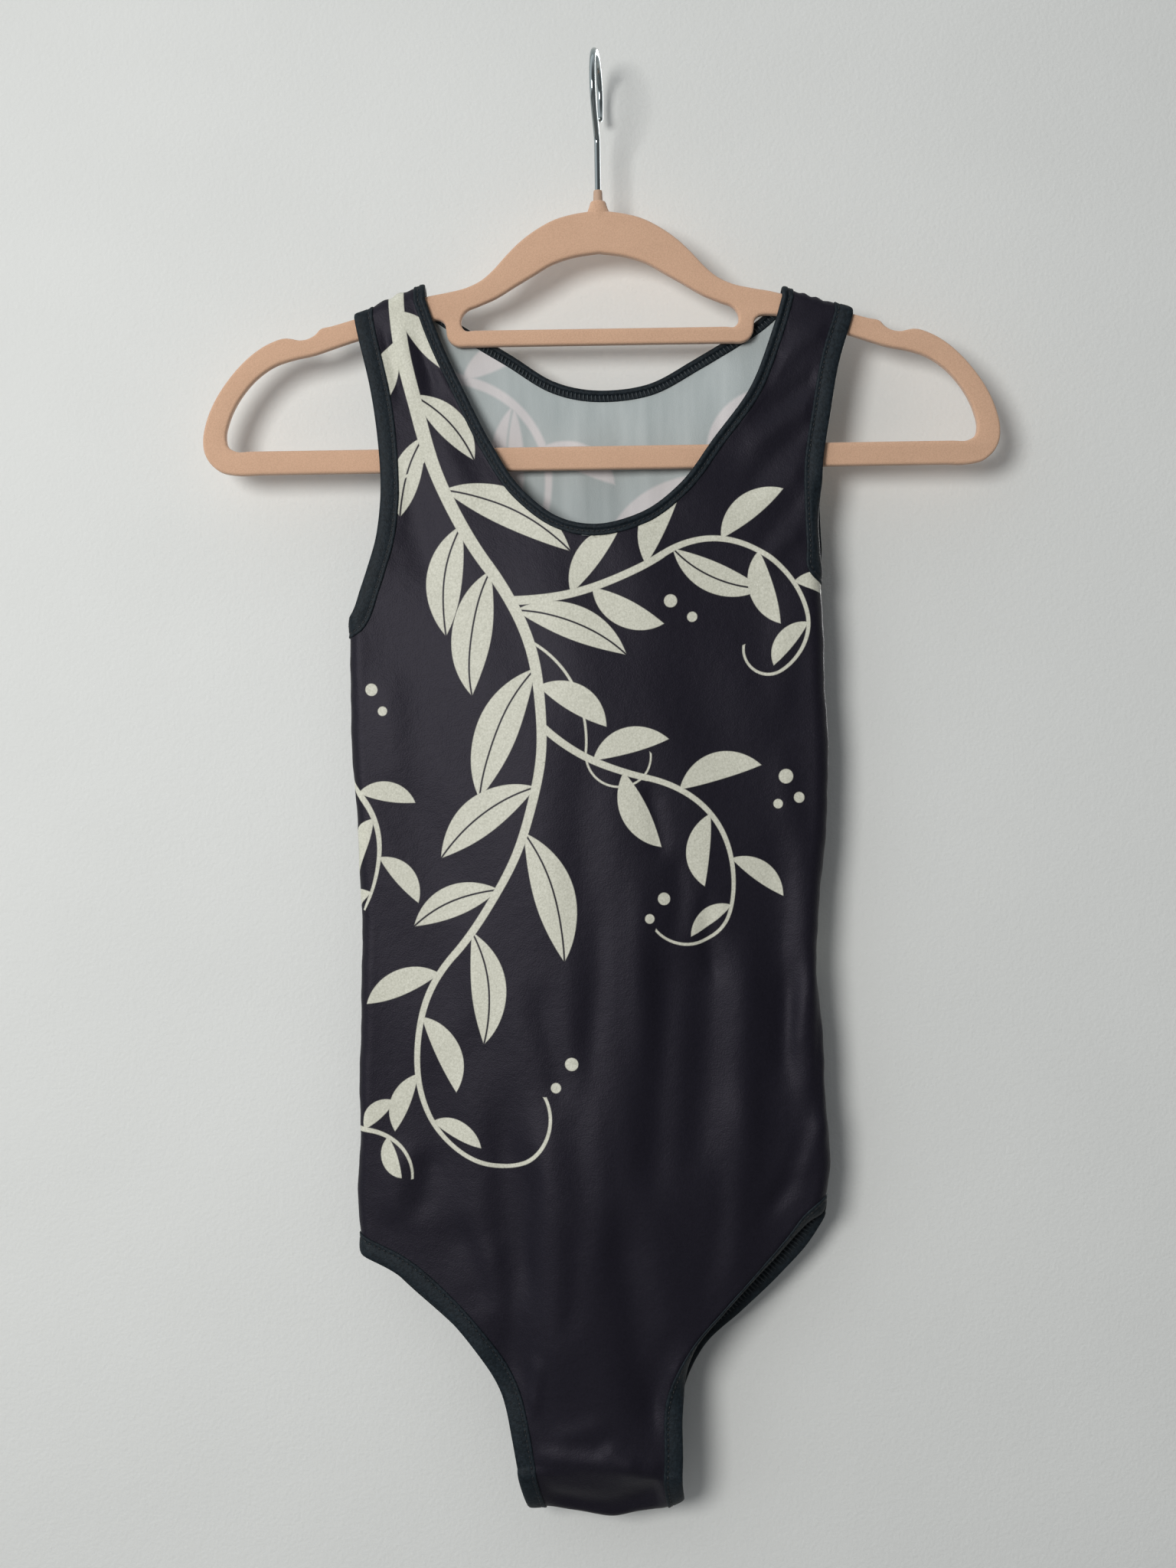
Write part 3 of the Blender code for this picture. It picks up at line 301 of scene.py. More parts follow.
def table_curve(rows, at):
    """Smooth value of a two-column table at the given places: a cubic between neighbouring rows."""
    known, values = np.array(sorted(rows), float).T
    slopes = np.gradient(values, known)
    at = np.clip(np.asarray(at, float), known[0], known[-1])
    i = np.clip(np.searchsorted(known, at) - 1, 0, len(known) - 2)
    span = known[i + 1] - known[i]
    t = (at - known[i]) / span
    return (
        (2 * t**3 - 3 * t**2 + 1) * values[i]
        + (t**3 - 2 * t**2 + t) * span * slopes[i]
        + (3 * t**2 - 2 * t**3) * values[i + 1]
        + (t**3 - t**2) * span * slopes[i + 1]
    )


def walked(points):
    """Distance along a line of points at each of them."""
    return np.concatenate([[0], np.cumsum(np.linalg.norm(np.diff(points, axis=0), axis=1))])


def line_points(points, shares):
    """Points of a smooth line through the given ones, at shares of its length."""
    points = np.array(points, float)
    places = walked(points)
    at = np.asarray(shares, float) * places[-1]
    return np.stack([table_curve(list(zip(places, points[:, k])), at) for k in range(points.shape[1])], -1)


def ease(share):
    """Smooth step from 0 to 1."""
    share = np.clip(share, 0, 1)
    return share * share * (3 - 2 * share)


def unit(vectors):
    """Vectors made one long."""
    return vectors / np.maximum(np.linalg.norm(vectors, axis=-1, keepdims=True), 1e-9)


def square_to(vectors, normals):
    """Vectors less their part along unit normals."""
    return vectors - normals * (vectors * normals).sum(-1, keepdims=True)


def arm_top(x):
    """Height of the hanger's arm under a strap, at x."""
    return ARM_START_Z - ARM_SLOPE * (np.abs(x) - ARM_START_X)


def strap_start(x):
    """Height below the ridge where a strap hangs straight, at x."""
    return arm_top(x) - RIDGE_DROP


def trough_field(table, x, z):
    """Sum of long troughs and ridges: a bell across each one's line, faded at both its ends."""
    total = np.zeros(np.broadcast(x, z).shape)
    for top_x, top_z, bottom_x, bottom_z, depth, half_width in table:
        length = math.hypot(bottom_x - top_x, bottom_z - top_z)
        along_x, along_z = (bottom_x - top_x) / length, (bottom_z - top_z) / length
        along = ((x - top_x) * along_x + (z - top_z) * along_z) / length
        offset = (x - top_x) * along_z - (z - top_z) * along_x
        offset = offset + 0.25 * half_width * np.sin(5.0 * along + top_x)
        bell = depth * np.exp(-((offset / half_width) ** 2))
        total = total + bell * ease(along * 3.2) * ease((1 - along) * 3.2)
    return total


def fold_depth(face, x, z):
    """Outward offset of the panel's main folds: a bell across each fold, faded at both its ends."""
    total = np.zeros(np.broadcast(x, z).shape)
    for top_x, top_z, bottom_x, bottom_z, depth, half_width in FOLDS[face]:
        along = (top_z - z) / (top_z - bottom_z)
        middle = top_x + (bottom_x - top_x) * along
        across = np.exp(-(((x - middle) / half_width) ** 2))
        total = total + depth * across * ease(along * 4) * ease((1 - along) * 4)
    return total


def body_point(face, side, girth, z):
    """Point of the tube: a quarter circle at its side, then a squared sine up to the middle."""
    tip = table_curve(SIDE_LINE[side], z)
    radius = SIDE_RADIUS[side]
    quarter = radius * math.pi / 2
    angle = np.minimum(girth, quarter) / radius
    beyond = np.maximum(girth - quarter, 0)
    x = tip - side * (radius * (1 - np.cos(angle)) + beyond)
    half_width = np.abs(tip - table_curve(CENTRE_LINE, z)) - radius
    share = np.clip(beyond / half_width, 0, 1)
    bulge = (table_curve(FULLNESS[face], z) - radius) * np.sin(share * math.pi / 2) ** 2
    tube = radius * np.sin(angle) + bulge + fold_depth(face, x, z) * ease(beyond / FOLD_FADE)
    full = ease((strap_start(x) - z) / FULLNESS_DROP)
    y = face * (SEAM_GAP / 2 + (1 - full) * RIDGE_RADIUS + full * tube)
    return np.stack(np.broadcast_arrays(x, y, z), -1)


def shoulder_point(face, side, x, angle):
    """Point of the strap's fold over the hanger: half an ellipse, its top at angle 0."""
    y = face * (RIDGE_RADIUS + SEAM_GAP / 2) * np.sin(angle)
    z = strap_start(x) + (RIDGE_DROP + table_curve(STRAP_RISE[side], x)) * np.cos(angle)
    return np.stack(np.broadcast_arrays(x, y, z), -1)


def crotch_point(face, _side, x, share):
    """Point of the turn under the crotch: a quarter ellipse that leans to its chord."""
    start_z = table_curve(CROTCH_START_LINE, x)
    bottom_z = table_curve(CROTCH_BOTTOM_LINE, x)
    start_y = face * (table_curve(FULLNESS[face], start_z) + SEAM_GAP / 2)
    start_y = start_y + face * fold_depth(face, x, start_z)
    turn = share * math.pi / 2
    curve_y = CROTCH_SEAM_Y + (start_y - CROTCH_SEAM_Y) * np.cos(turn)
    curve_z = start_z + (bottom_z - start_z) * np.sin(turn)
    chord_y = start_y + (CROTCH_SEAM_Y - start_y) * share
    chord_z = start_z + (bottom_z - start_z) * share
    lean = (CROTCH_DIAGONAL if face == FRONT else 0.0) * (1 - share**2)
    across = (x - LEG_END_X[LEFT]) / (LEG_END_X[RIGHT] - LEG_END_X[LEFT])
    drift = CROTCH_DRIFT[LEFT] + (CROTCH_DRIFT[RIGHT] - CROTCH_DRIFT[LEFT]) * across
    y = curve_y + (chord_y - curve_y) * lean
    z = curve_z + (chord_z - curve_z) * lean
    return np.stack(np.broadcast_arrays(x + drift * ease(share), y, z), -1)


ZONE_POINT = {"shoulder": shoulder_point, "body": body_point, "crotch": crotch_point}
ZONE_STEP = {"shoulder": (0.05, 0.002), "body": (0.05, 0.05), "crotch": (0.05, 0.002)}


def skin_normal(face, side, zone, across, down):
    """Outward unit normal: the cross product of small steps along both parameters."""
    step_across, step_down = ZONE_STEP[zone]
    point = ZONE_POINT[zone]
    here = point(face, side, across, down)
    beside = point(face, side, across + step_across, down)
    below = point(face, side, across, down + step_down)
    normal = np.cross(beside - here, below - here)
    outward = np.zeros_like(here)
    outward[..., 1] = here[..., 1]
    if zone == "shoulder":
        outward[..., 2] = here[..., 2] - strap_start(here[..., 0])
    elif zone == "crotch":
        outward[..., 2] = here[..., 2] - CROTCH_START_LINE[0][1] - 1
    else:
        outward[..., 0] = 0.02 * (here[..., 0] - table_curve(CENTRE_LINE, here[..., 2]))
    return unit(normal) * np.where((normal * outward).sum(-1, keepdims=True) < 0, -1, 1)


def girth_at(side, x, z):
    """Girth distance from the side seam of a point given in the front view."""
    inset = np.abs(table_curve(SIDE_LINE[side], z) - x)
    return inset + (math.pi / 2 - 1) * SIDE_RADIUS[side]


def armhole_line(side):
    """Stitch line of an armhole, as girth and height, from the strap to the side seam."""
    start_x = STRAP_ARMHOLE_X[side]
    points = [(start_x, strap_start(start_x))] + ARMHOLE_LINE[side]
    line = [(girth_at(side, x, z), z) for x, z in points]
    corner = np.radians(ARMHOLE_CORNER_TURN[side]) * np.linspace(1, 0, 5)
    seam = ARMHOLE_SEAM_Z[side]
    return line + [(CORNER_RADIUS * math.sin(a), seam + CORNER_RADIUS * (1 - math.cos(a))) for a in corner]


def leg_line(face, side):
    """Stitch line of a leg opening, as girth and height, from the side seam to the crotch."""
    corner = np.radians(LEG_CORNER_TURN[side]) * np.linspace(0, 1, 4)
    seam = LEG_SEAM_Z[side]
    line = [(CORNER_RADIUS * math.sin(a), seam - CORNER_RADIUS * (1 - math.cos(a))) for a in corner]
    for x, z in LEG_LINE[side]:
        line.append((girth_at(side, x + side * float(table_curve(LEG_SHIFT[face, side], z)), z), z))
    end_x = LEG_END_X[side]
    end_z = float(table_curve(CROTCH_START_LINE, end_x))
    return line + [(girth_at(side, end_x, end_z), end_z)]


def neck_line(face):
    """Stitch line of the neck in the front view, from the left strap to the right one."""
    ends = [(STRAP_NECK_X[side], strap_start(STRAP_NECK_X[side])) for side in (LEFT, RIGHT)]
    return [ends[0]] + NECK_LINE[face] + [ends[1]]


def neck_middle(face):
    """Share of the neck line's length at which it is lowest."""
    shares = np.linspace(0.3, 0.7, 401)
    return float(shares[np.argmin(line_points(neck_line(face), shares)[:, 1])])


def shoulder_angles(face):
    """Angles of the rows over the shoulder, from the shoulder seam to the straight strap."""
    seam = math.radians(SEAM_BEHIND_RIDGE) * (-1 if face == FRONT else 1)
    return np.linspace(seam, math.pi / 2, SHOULDER_ROWS + 1)[:-1]


def crotch_shares():
    """Shares of the rows under the crotch, past the line where the cloth starts to turn."""
    return np.linspace(0, 1, CROTCH_ROWS + 1)[1:]


def neck_shares(face, side):
    """Shares of the neck line for the rows of one half, from its strap to the lowest place."""
    middle = neck_middle(face)
    rows = np.linspace(0, 1, NECK_ROWS + 1)
    return middle * rows if side == LEFT else 1 - (1 - middle) * rows


def edge_params(face, side, edge):
    """Rows of one bound edge: for each zone its two parameters and the way into the cloth in them."""
    strap_x = (STRAP_NECK_X if edge == "neck" else STRAP_ARMHOLE_X)[side]
    angles = shoulder_angles(face)
    inward_x = side if edge == "neck" else -side
    if edge == "neck":
        x, z = line_points(neck_line(face), neck_shares(face, side)).T
        line = np.stack([girth_at(side, x, z), z], -1)
    elif edge == "armhole":
        line = line_points(armhole_line(side), armhole_shares())
    else:
        line = line_points(leg_line(face, side), np.linspace(0, 1, LEG_ROWS + 1))
    tangent = unit(np.gradient(line, axis=0))
    inward = np.stack([-tangent[:, 1], tangent[:, 0]], -1)
    if edge == "neck":
        inward = -inward
    body = ("body", line, inward)
    if edge == "leg":
        shares = crotch_shares()
        rows = np.stack([np.full_like(shares, LEG_END_X[side]), shares], -1)
        return [body, ("crotch", rows, np.tile([-side, 0.0], (len(shares), 1)))]
    rows = np.stack([np.full_like(angles, strap_x), angles], -1)
    return [("shoulder", rows, np.tile([float(inward_x), 0.0], (len(angles), 1))), body]


def armhole_shares():
    """Shares of an armhole's line for the rows beside the neck and the rows below it."""
    above = np.linspace(0, ARMHOLE_BESIDE_NECK, NECK_ROWS + 1)
    return np.concatenate([above, np.linspace(ARMHOLE_BESIDE_NECK, 1, ARMHOLE_END_ROWS + 1)[1:]])


def edge_surface(face, side, edge, inset):
    """Points and normals of the skin along an edge, moved into the cloth by inset."""
    points, normals = [], []
    for zone, rows, inward in edge_params(face, side, edge):
        across, down = (rows + inward * inset).T
        across = np.abs(across) if zone == "body" else across
        points.append(ZONE_POINT[zone](face, side, across, down))
        normals.append(skin_normal(face, side, zone, across, down))
    return np.concatenate(points), np.concatenate(normals)


def roll_angles(face, side, edge, z):
    """Angle by which a binding is rolled to the inside at a height."""
    if face == BACK or side == LEFT or edge != "armhole":
        return np.zeros_like(z)
    return np.radians(table_curve(ARMHOLE_ROLL, z))


def edge_frames(face, side, edge):
    """Stitch points, normals, outward directions and rolls along one bound edge of one half panel."""
    points, normals = edge_surface(face, side, edge, 0.0)
    inner, _ = edge_surface(face, side, edge, FRAME_STEP)
    tangent = unit(np.gradient(points, axis=0))
    outward = unit(square_to(square_to(points - inner, tangent), normals))
    return points, normals, outward, roll_angles(face, side, edge, points[:, 2])


def rolled_place(points, normals, outward, roll, out, up):
    """Places out past the stitch line and up from the cloth, on an arc that turns to the roll."""
    roll = np.maximum(roll, 1e-4)[:, None]
    on_arc = np.clip(out, 0, ROLL_LENGTH)
    turned = roll * on_arc / ROLL_LENGTH
    arc = ROLL_LENGTH / roll
    straight = np.maximum(out - ROLL_LENGTH, 0) + np.minimum(out, 0)
    ahead = arc * np.sin(turned) + straight * np.cos(turned)
    sunk = arc * (1 - np.cos(turned)) + straight * np.sin(turned)
    place = points + outward * ahead - normals * sunk
    lifted = normals * np.cos(turned) + outward * np.sin(turned)
    return place + lifted * up


def turned_under(points):
    """Front cloth and strip of the right leg, turned under past a fold beside the stitch line.

    A point's distance past the fold runs round an arc that reaches the turn's angle and then on
    straight. Its height above the cloth stays. Its frame is the mean of the edge's nearest ones.
    """
    stitch, normals, outward, _ = edge_frames(FRONT, RIGHT, "leg")
    flat = points.reshape(-1, 3).copy()
    gaps = np.linalg.norm(flat[:, None] - stitch[None], axis=-1)
    nearest = gaps.min(1)
    near = nearest < LEG_TURN_REACH
    weights = np.exp(-(((gaps[near] - nearest[near, None]) / LEG_TURN_BLEND) ** 2))
    weights = weights / weights.sum(1, keepdims=True)
    base, lift, out = weights @ stitch, unit(weights @ normals), weights @ outward
    out = unit(square_to(out, lift))
    rest = flat[near] - base
    past = (rest * out).sum(-1) + LEG_TURN_INSET
    height = (rest * lift).sum(-1)
    angle = np.maximum(np.radians(table_curve(LEG_TURN, base[:, 2])), 1e-3)
    arc = LEG_TURN_LENGTH / angle
    turned = angle * np.clip(past, 0, LEG_TURN_LENGTH) / LEG_TURN_LENGTH
    straight = np.maximum(past - LEG_TURN_LENGTH, 0)
    ahead = arc * np.sin(turned) + straight * np.cos(turned) + height * np.sin(turned)
    sunk = arc * (1 - np.cos(turned)) + straight * np.sin(turned) - height * np.cos(turned)
    change = out * (ahead - past)[:, None] - lift * (sunk + height)[:, None]
    flat[near] += change * (past > 0)[:, None]
    return flat.reshape(points.shape)


def sway(points):
    """Gentle unevenness of hanging cloth: slow sines in space, the same for all that lies there."""
    x, y, z = points[..., 0], points[..., 1], points[..., 2]
    out = points.copy()
    for axis, height, along_x, along_y, along_z, phase in SWAY_WAVES:
        out[..., axis] += height * np.sin(x / along_x + y / along_y + z / along_z + phase)
    return out


def half_grid(face, side):
    """Grid of half a panel: points, print coordinates and distance from the bound edges.

    Rows run from the shoulder seam to the crotch seam and columns from the armhole, side or leg to
    the neck or the middle. Between its two ends a row follows the skin, a little bent.
    """
    u = np.linspace(0, 1, COLUMNS + 1)[None, :] ** COLUMN_BIAS
    angles = shoulder_angles(face)[:, None]
    strap_x = STRAP_ARMHOLE_X[side] + (STRAP_NECK_X[side] - STRAP_ARMHOLE_X[side]) * u
    shoulder = shoulder_point(face, side, strap_x, angles)
    shoulder_s = strap_start(strap_x) + (RIDGE_RADIUS + 0.4) * (math.pi / 2 - angles)

    neck = line_points(neck_line(face), neck_shares(face, side))
    lowest = neck[-1]
    arm = line_points(armhole_line(side), armhole_shares())
    leg = line_points(leg_line(face, side), np.linspace(0, 1, LEG_ROWS + 1))
    foot = float(table_curve(CROTCH_START_LINE, float(table_curve(CENTRE_LINE, CROTCH_START_LINE[1][1]))))
    side_z = np.linspace(ARMHOLE_SEAM_Z[side], LEG_SEAM_Z[side], SIDE_ROWS + 1)[1:]
    outer = np.concatenate([arm, np.stack([np.zeros_like(side_z), side_z], -1), leg[1:]])
    middle_z = np.concatenate([
        np.linspace(lowest[1], MIDDLE_LEVELS[0], ARMHOLE_END_ROWS + 1)[1:],
        np.linspace(MIDDLE_LEVELS[0], MIDDLE_LEVELS[1], SIDE_ROWS + 1)[1:],
        np.linspace(MIDDLE_LEVELS[1], foot, LEG_ROWS + 1)[1:],
    ])
    middle_x = table_curve(CENTRE_LINE, middle_z)
    blend = ease(np.arange(1, len(middle_z) + 1) / ARMHOLE_END_ROWS)
    middle_x = lowest[0] + (middle_x - lowest[0]) * blend
    inner_x = np.concatenate([neck[:, 0], middle_x])
    inner_z = np.concatenate([neck[:, 1], middle_z])
    start = np.maximum(outer[:, 0], 0)[:, None]
    end = girth_at(side, inner_x, inner_z)[:, None]
    girths = start + (end - start) * u
    rows = np.arange(len(outer))[:, None]
    bend = 1 + (ROW_BEND - 1) * ease((rows - NECK_ROWS) / ARMHOLE_END_ROWS)
    heights = outer[:, 1:2] + (inner_z[:, None] - outer[:, 1:2]) * u**bend
    end_x = LEG_END_X[side] + (inner_x[-1] - LEG_END_X[side]) * u[0]
    settle = ease((rows - (len(outer) - 1 - LEG_ROWS / 2)) / (LEG_ROWS / 2))
    heights = heights + (table_curve(CROTCH_START_LINE, end_x) - heights[-1])[None, :] * settle
    tip = table_curve(SIDE_LINE[side], heights)
    body = body_point(face, side, girths, heights)
    print_x = tip - side * (girths - (math.pi / 2 - 1) * SIDE_RADIUS[side])

    shares = crotch_shares()[:, None]
    last_x = body[-1, :, 0][None, :]
    crotch = crotch_point(face, side, last_x, shares)
    crotch_s = table_curve(CROTCH_START_LINE, last_x) - CROTCH_CLOTH * shares

    points = np.concatenate([shoulder, body, crotch])
    across = np.concatenate([
        np.broadcast_to(strap_x, shoulder.shape[:2]), print_x, np.broadcast_to(last_x, crotch.shape[:2]),
    ])
    along = np.concatenate([shoulder_s, heights, crotch_s])
    row_length = np.linalg.norm(np.diff(points, axis=1), axis=-1).cumsum(1)
    from_outer = np.concatenate([np.zeros((len(points), 1)), row_length], 1)
    from_inner = from_outer[:, -1:] - from_outer
    neck_end = SHOULDER_ROWS + NECK_ROWS
    below = np.clip((np.arange(len(points)) - neck_end) * 2.0, 0, None)[:, None]
    seam = np.full((len(points), 1), 99.0)
    seam[:SHOULDER_ROWS] = np.abs(angles - angles[0]) * (RIDGE_RADIUS + 4)
    seam[-CROTCH_ROWS:] = 30 * (1 - shares)
    bound = np.minimum(np.minimum(from_outer, np.hypot(from_inner, below)), seam)
    return points, across, along, bound


def grid_normals(points, face):
    """Outward normals of a grid from its own differences."""
    down, across = np.gradient(points, axis=0), np.gradient(points, axis=1)
    normals = unit(np.cross(across, down))
    mid = len(points) // 2
    return normals * (-1 if np.sign(normals[mid, -1, 1]) != face else 1)


def crease_offset(face, across, along, bound):
    """Soft creases, small puckers beside the bindings and the slackness of the knit."""
    creases = trough_field(CREASES[face], across, along)
    slack = SLACK_HEIGHT * np.sin(across / 11 + 0.7 * np.sin(along / 37)) * np.sin(along / 53 + across / 40)
    ripple = PUCKER_HEIGHT * np.sin(along / 2.9 + across / 3.7)
    pucker = ripple * np.exp(-bound / 4.5) * ease(bound / 1.5)
    return (creases + slack) * ease(bound / CREASE_FADE) + pucker


# Printed vines, as seen from the front. A vine starts at a place with a heading in degrees, or at a
# distance along an earlier one with a turn off it, and runs in arcs: radius, turn to the left in
# degrees. Leaves: distance along the vine, turn off it, length, width, curl
VINES = {
    FRONT: [
        {
            "start": (-114, -128), "heading": -86, "width": (8.5, 1.6),
            "arcs": [(400, 14), (220, 18), (150, -44), (200, -34), (84, 64), (46, 66), (26, 120)],
            "leaves": [
                (14, 32, 44, 13, 3), (30, -26, 40, 14, -3), (62, 30, 50, 16, 4), (86, -34, 46, 16, -3),
                (118, 40, 78, 21, 7), (140, -38, 62, 20, -5), (170, -44, 70, 22, -6), (196, 42, 66, 19, 6),
                (230, -36, 78, 23, -6), (240, 50, 44, 15, 5), (296, -42, 66, 21, -6), (322, 36, 74, 22, 6),
                (356, -38, 52, 17, -4), (384, 42, 62, 19, 6), (414, -36, 44, 14, -4), (440, 40, 46, 14, 5),
                (472, -30, 34, 11, -3), (500, 34, 30, 10, 3),
            ],
        },
        {
            "from": 190, "turn": 62, "width": (5.0, 1.3),
            "arcs": [(150, 34), (52, -112), (30, -70), (14, -130)],
            "leaves": [
                (34, 40, 46, 14, 5), (46, -44, 44, 15, -5), (78, 36, 50, 15, 5), (96, -50, 54, 17, -6),
                (124, 44, 44, 14, 5), (146, -46, 42, 14, -5), (172, 44, 36, 12, 4), (196, -40, 30, 10, -4),
            ],
        },
        {
            "from": 262, "turn": 46, "width": (4.4, 1.3),
            "arcs": [(110, 34), (58, -98), (24, -120)],
            "leaves": [
                (34, 42, 44, 14, 5), (52, -46, 46, 15, -5), (84, 44, 48, 15, 6), (106, -44, 40, 13, -5),
                (134, 42, 36, 11, 4), (160, -40, 28, 9, -3),
            ],
        },
        {
            "start": (-152, -398), "heading": -30, "width": (4.0, 1.3),
            "arcs": [(50, -66), (70, -24)],
            "leaves": [
                (18, 40, 32, 11, 4), (34, -40, 36, 12, -4), (56, 44, 34, 11, 4), (76, -36, 30, 10, -3),
            ],
        },
        {
            "start": (-150, -598), "heading": 20, "width": (3.2, 1.2),
            "arcs": [(30, -64), (24, -50)],
            "leaves": [(12, 44, 24, 9, 3), (26, -42, 24, 9, -3)],
        },
        {"from": 96, "turn": -48, "width": (1.6, 1.0), "arcs": [(30, -70), (12, -150)], "leaves": []},
        {"from": 214, "turn": 44, "width": (1.6, 1.0), "arcs": [(60, -70), (18, 190)], "leaves": []},
    ],
    BACK: [
        {
            "start": (116, -132), "heading": -96, "width": (9.0, 1.8),
            "arcs": [(300, -20), (120, -30), (90, 60), (120, 50), (80, -60), (60, -60)],
            "leaves": [
                (30, 34, 44, 14, 4), (56, -38, 56, 18, -5), (88, 42, 70, 20, 6), (116, -40, 84, 24, -8),
                (150, 42, 66, 20, 6), (184, -40, 50, 17, -5), (222, 40, 60, 19, 5), (246, -40, 70, 21, -6),
                (280, 44, 64, 20, 6), (314, -38, 60, 19, -5), (348, 40, 52, 16, 5), (384, -36, 46, 14, -4),
                (418, 38, 40, 13, 4), (450, -34, 34, 11, -3),
            ],
        },
        {
            "start": (-118, -148), "heading": -58, "width": (7.0, 2.0),
            "arcs": [(70, 44), (60, -96), (60, 30), (34, -60)],
            "leaves": [
                (26, -42, 44, 15, -4), (52, 40, 46, 15, 4), (84, -44, 62, 19, -6), (112, 42, 46, 15, 5),
                (148, -42, 54, 17, -5), (178, 40, 36, 12, 4), (204, -40, 34, 11, -4),
            ],
        },
    ],
}
# Berries beside the vines: x, z, radius
BERRIES = {
    FRONT: [
        (99, -404, 4.0), (106, -416, 3.0), (94, -419, 2.6), (36, -306, 3.6), (48, -315, 2.8),
        (-22, -560, 3.6), (-31, -573, 2.8), (-130, -352, 3.4), (-124, -364, 2.6), (30, -470, 3.4),
        (22, -481, 2.6),
    ],
    BACK: [
        (90, -330, 4.0), (98, -344, 3.2), (-104, -420, 3.8), (-96, -434, 3.0), (-30, -600, 3.8),
        (60, -620, 3.8),
    ],
}
LEAF_SPLIT_WIDTH = 15.0
LEAF_SPLIT_GAP = 1.0
LEAF_LEAST_BULGE = 1.5


def heading_of(degrees):
    """Unit direction of a heading."""
    return np.array([math.cos(math.radians(degrees)), math.sin(math.radians(degrees))])


def to_centre(heading, turn):
    """Unit direction from a place on an arc to the arc's centre."""
    return heading_of(heading + math.copysign(90, turn))


def along_arcs(place, heading, arcs, distance):
    """Place and heading at a distance along a chain of arcs that flow into each other."""
    for radius, turn in arcs:
        length = radius * math.radians(abs(turn))
        share = min(distance / length, 1)
        centre = place + radius * to_centre(heading, turn)
        heading += turn * share
        place = centre - radius * to_centre(heading, turn)
        distance -= length * share
        if share < 1:
            break
    return place, heading


def vine_shapes(face):
    """Arcs and leaves of a panel's vines, as circles.

    An arc is (centre, radius, middle, reach, end, half width at its end, growth of the half width
    away from its end). A leaf is its two sides' circles and its midrib's: (centre, radius) each, and
    its width. Each side passes through the leaf's two tips and bulges by half the width, more
    or less by the curl.
    """
    arcs, leaves = [], []
    trunk = None
    for vine in VINES[face]:
        if "from" in vine:
            place, heading = along_arcs(*trunk, vine["from"])
            heading += vine["turn"]
        else:
            place, heading = np.array(vine["start"], float), float(vine["heading"])
        start = (place, heading, vine["arcs"])
        trunk = trunk or start
        lengths = [radius * math.radians(abs(turn)) for radius, turn in vine["arcs"]]
        first, last = vine["width"]
        for count, (radius, turn) in enumerate(vine["arcs"]):
            before, length = sum(lengths[:count]), lengths[count]
            centre = place + radius * to_centre(heading, turn)
            middle, _ = along_arcs(place, heading, [(radius, turn)], length / 2)
            end, end_heading = along_arcs(place, heading, [(radius, turn)], length)
            at_end = first + (last - first) * (before + length) / sum(lengths)
            growth = (first - last) / sum(lengths)
            reach = math.hypot(*(end - middle)) + 0.3
            arcs.append((centre, radius, middle, reach, end, at_end / 2, growth / 2))
            place, heading = end, end_heading
        for distance, turn, length, width, curl in vine["leaves"]:
            foot, heading = along_arcs(*start, distance)
            run = heading_of(heading + turn)
            side = np.array([-run[1], run[0]])
            middle = foot + run * length / 2
            circles = []
            for way, bulge in (
                (1, max(width / 2 + curl, LEAF_LEAST_BULGE)), (-1, max(width / 2 - curl, LEAF_LEAST_BULGE)),
                (math.copysign(1, curl), abs(curl)),
            ):
                radius = ((length / 2) ** 2 + bulge**2) / (2 * bulge)
                circles.append((middle - side * way * (radius - bulge), radius))
            leaves.append((circles, width))
    return arcs, leaves


def added(name, data):
    """New object at the origin, in the scene."""
    made = bpy.data.objects.new(name, data)
    bpy.context.scene.collection.objects.link(made)
    return made


def mesh_object(name, points, faces, smooth=True):
    """Object at the origin from points in millimetres and faces given as arrays of corners."""
    mesh = bpy.data.meshes.new(name)
    mesh.from_pydata((np.asarray(points) * MM).tolist(), [], np.asarray(faces).tolist())
    if smooth:
        mesh.shade_smooth()
    return added(name, mesh)


def grid_faces(rows, columns, start=0, closed=False):
    """Quads between neighbouring rows of a grid, with its columns joined round if closed."""
    index = start + np.arange(rows * columns).reshape(rows, columns)
    right = np.roll(index, -1, axis=1) if closed else index[:, 1:]
    left = index if closed else index[:, :-1]
    return np.stack([corner.ravel() for corner in (left[:-1], right[:-1], right[1:], left[1:])], -1)


def mended(made, mend):
    """Mends a mesh, turns its faces to one outward side and smooths them."""
    work = bmesh.new()
    work.from_mesh(made.data)
    mend(work)
    bmesh.ops.recalc_face_normals(work, faces=work.faces)
    work.to_mesh(made.data)
    work.free()
    made.data.shade_smooth()
    return made


def merged(made, distance):
    """Merges a mesh's doubled points."""
    return mended(made, lambda work: bmesh.ops.remove_doubles(work, verts=work.verts, dist=distance * MM))


def closed_ends(made):
    """Closes a mesh's open ends with flat faces."""
    return mended(made, lambda work: bmesh.ops.holes_fill(work, edges=work.edges, sides=0))


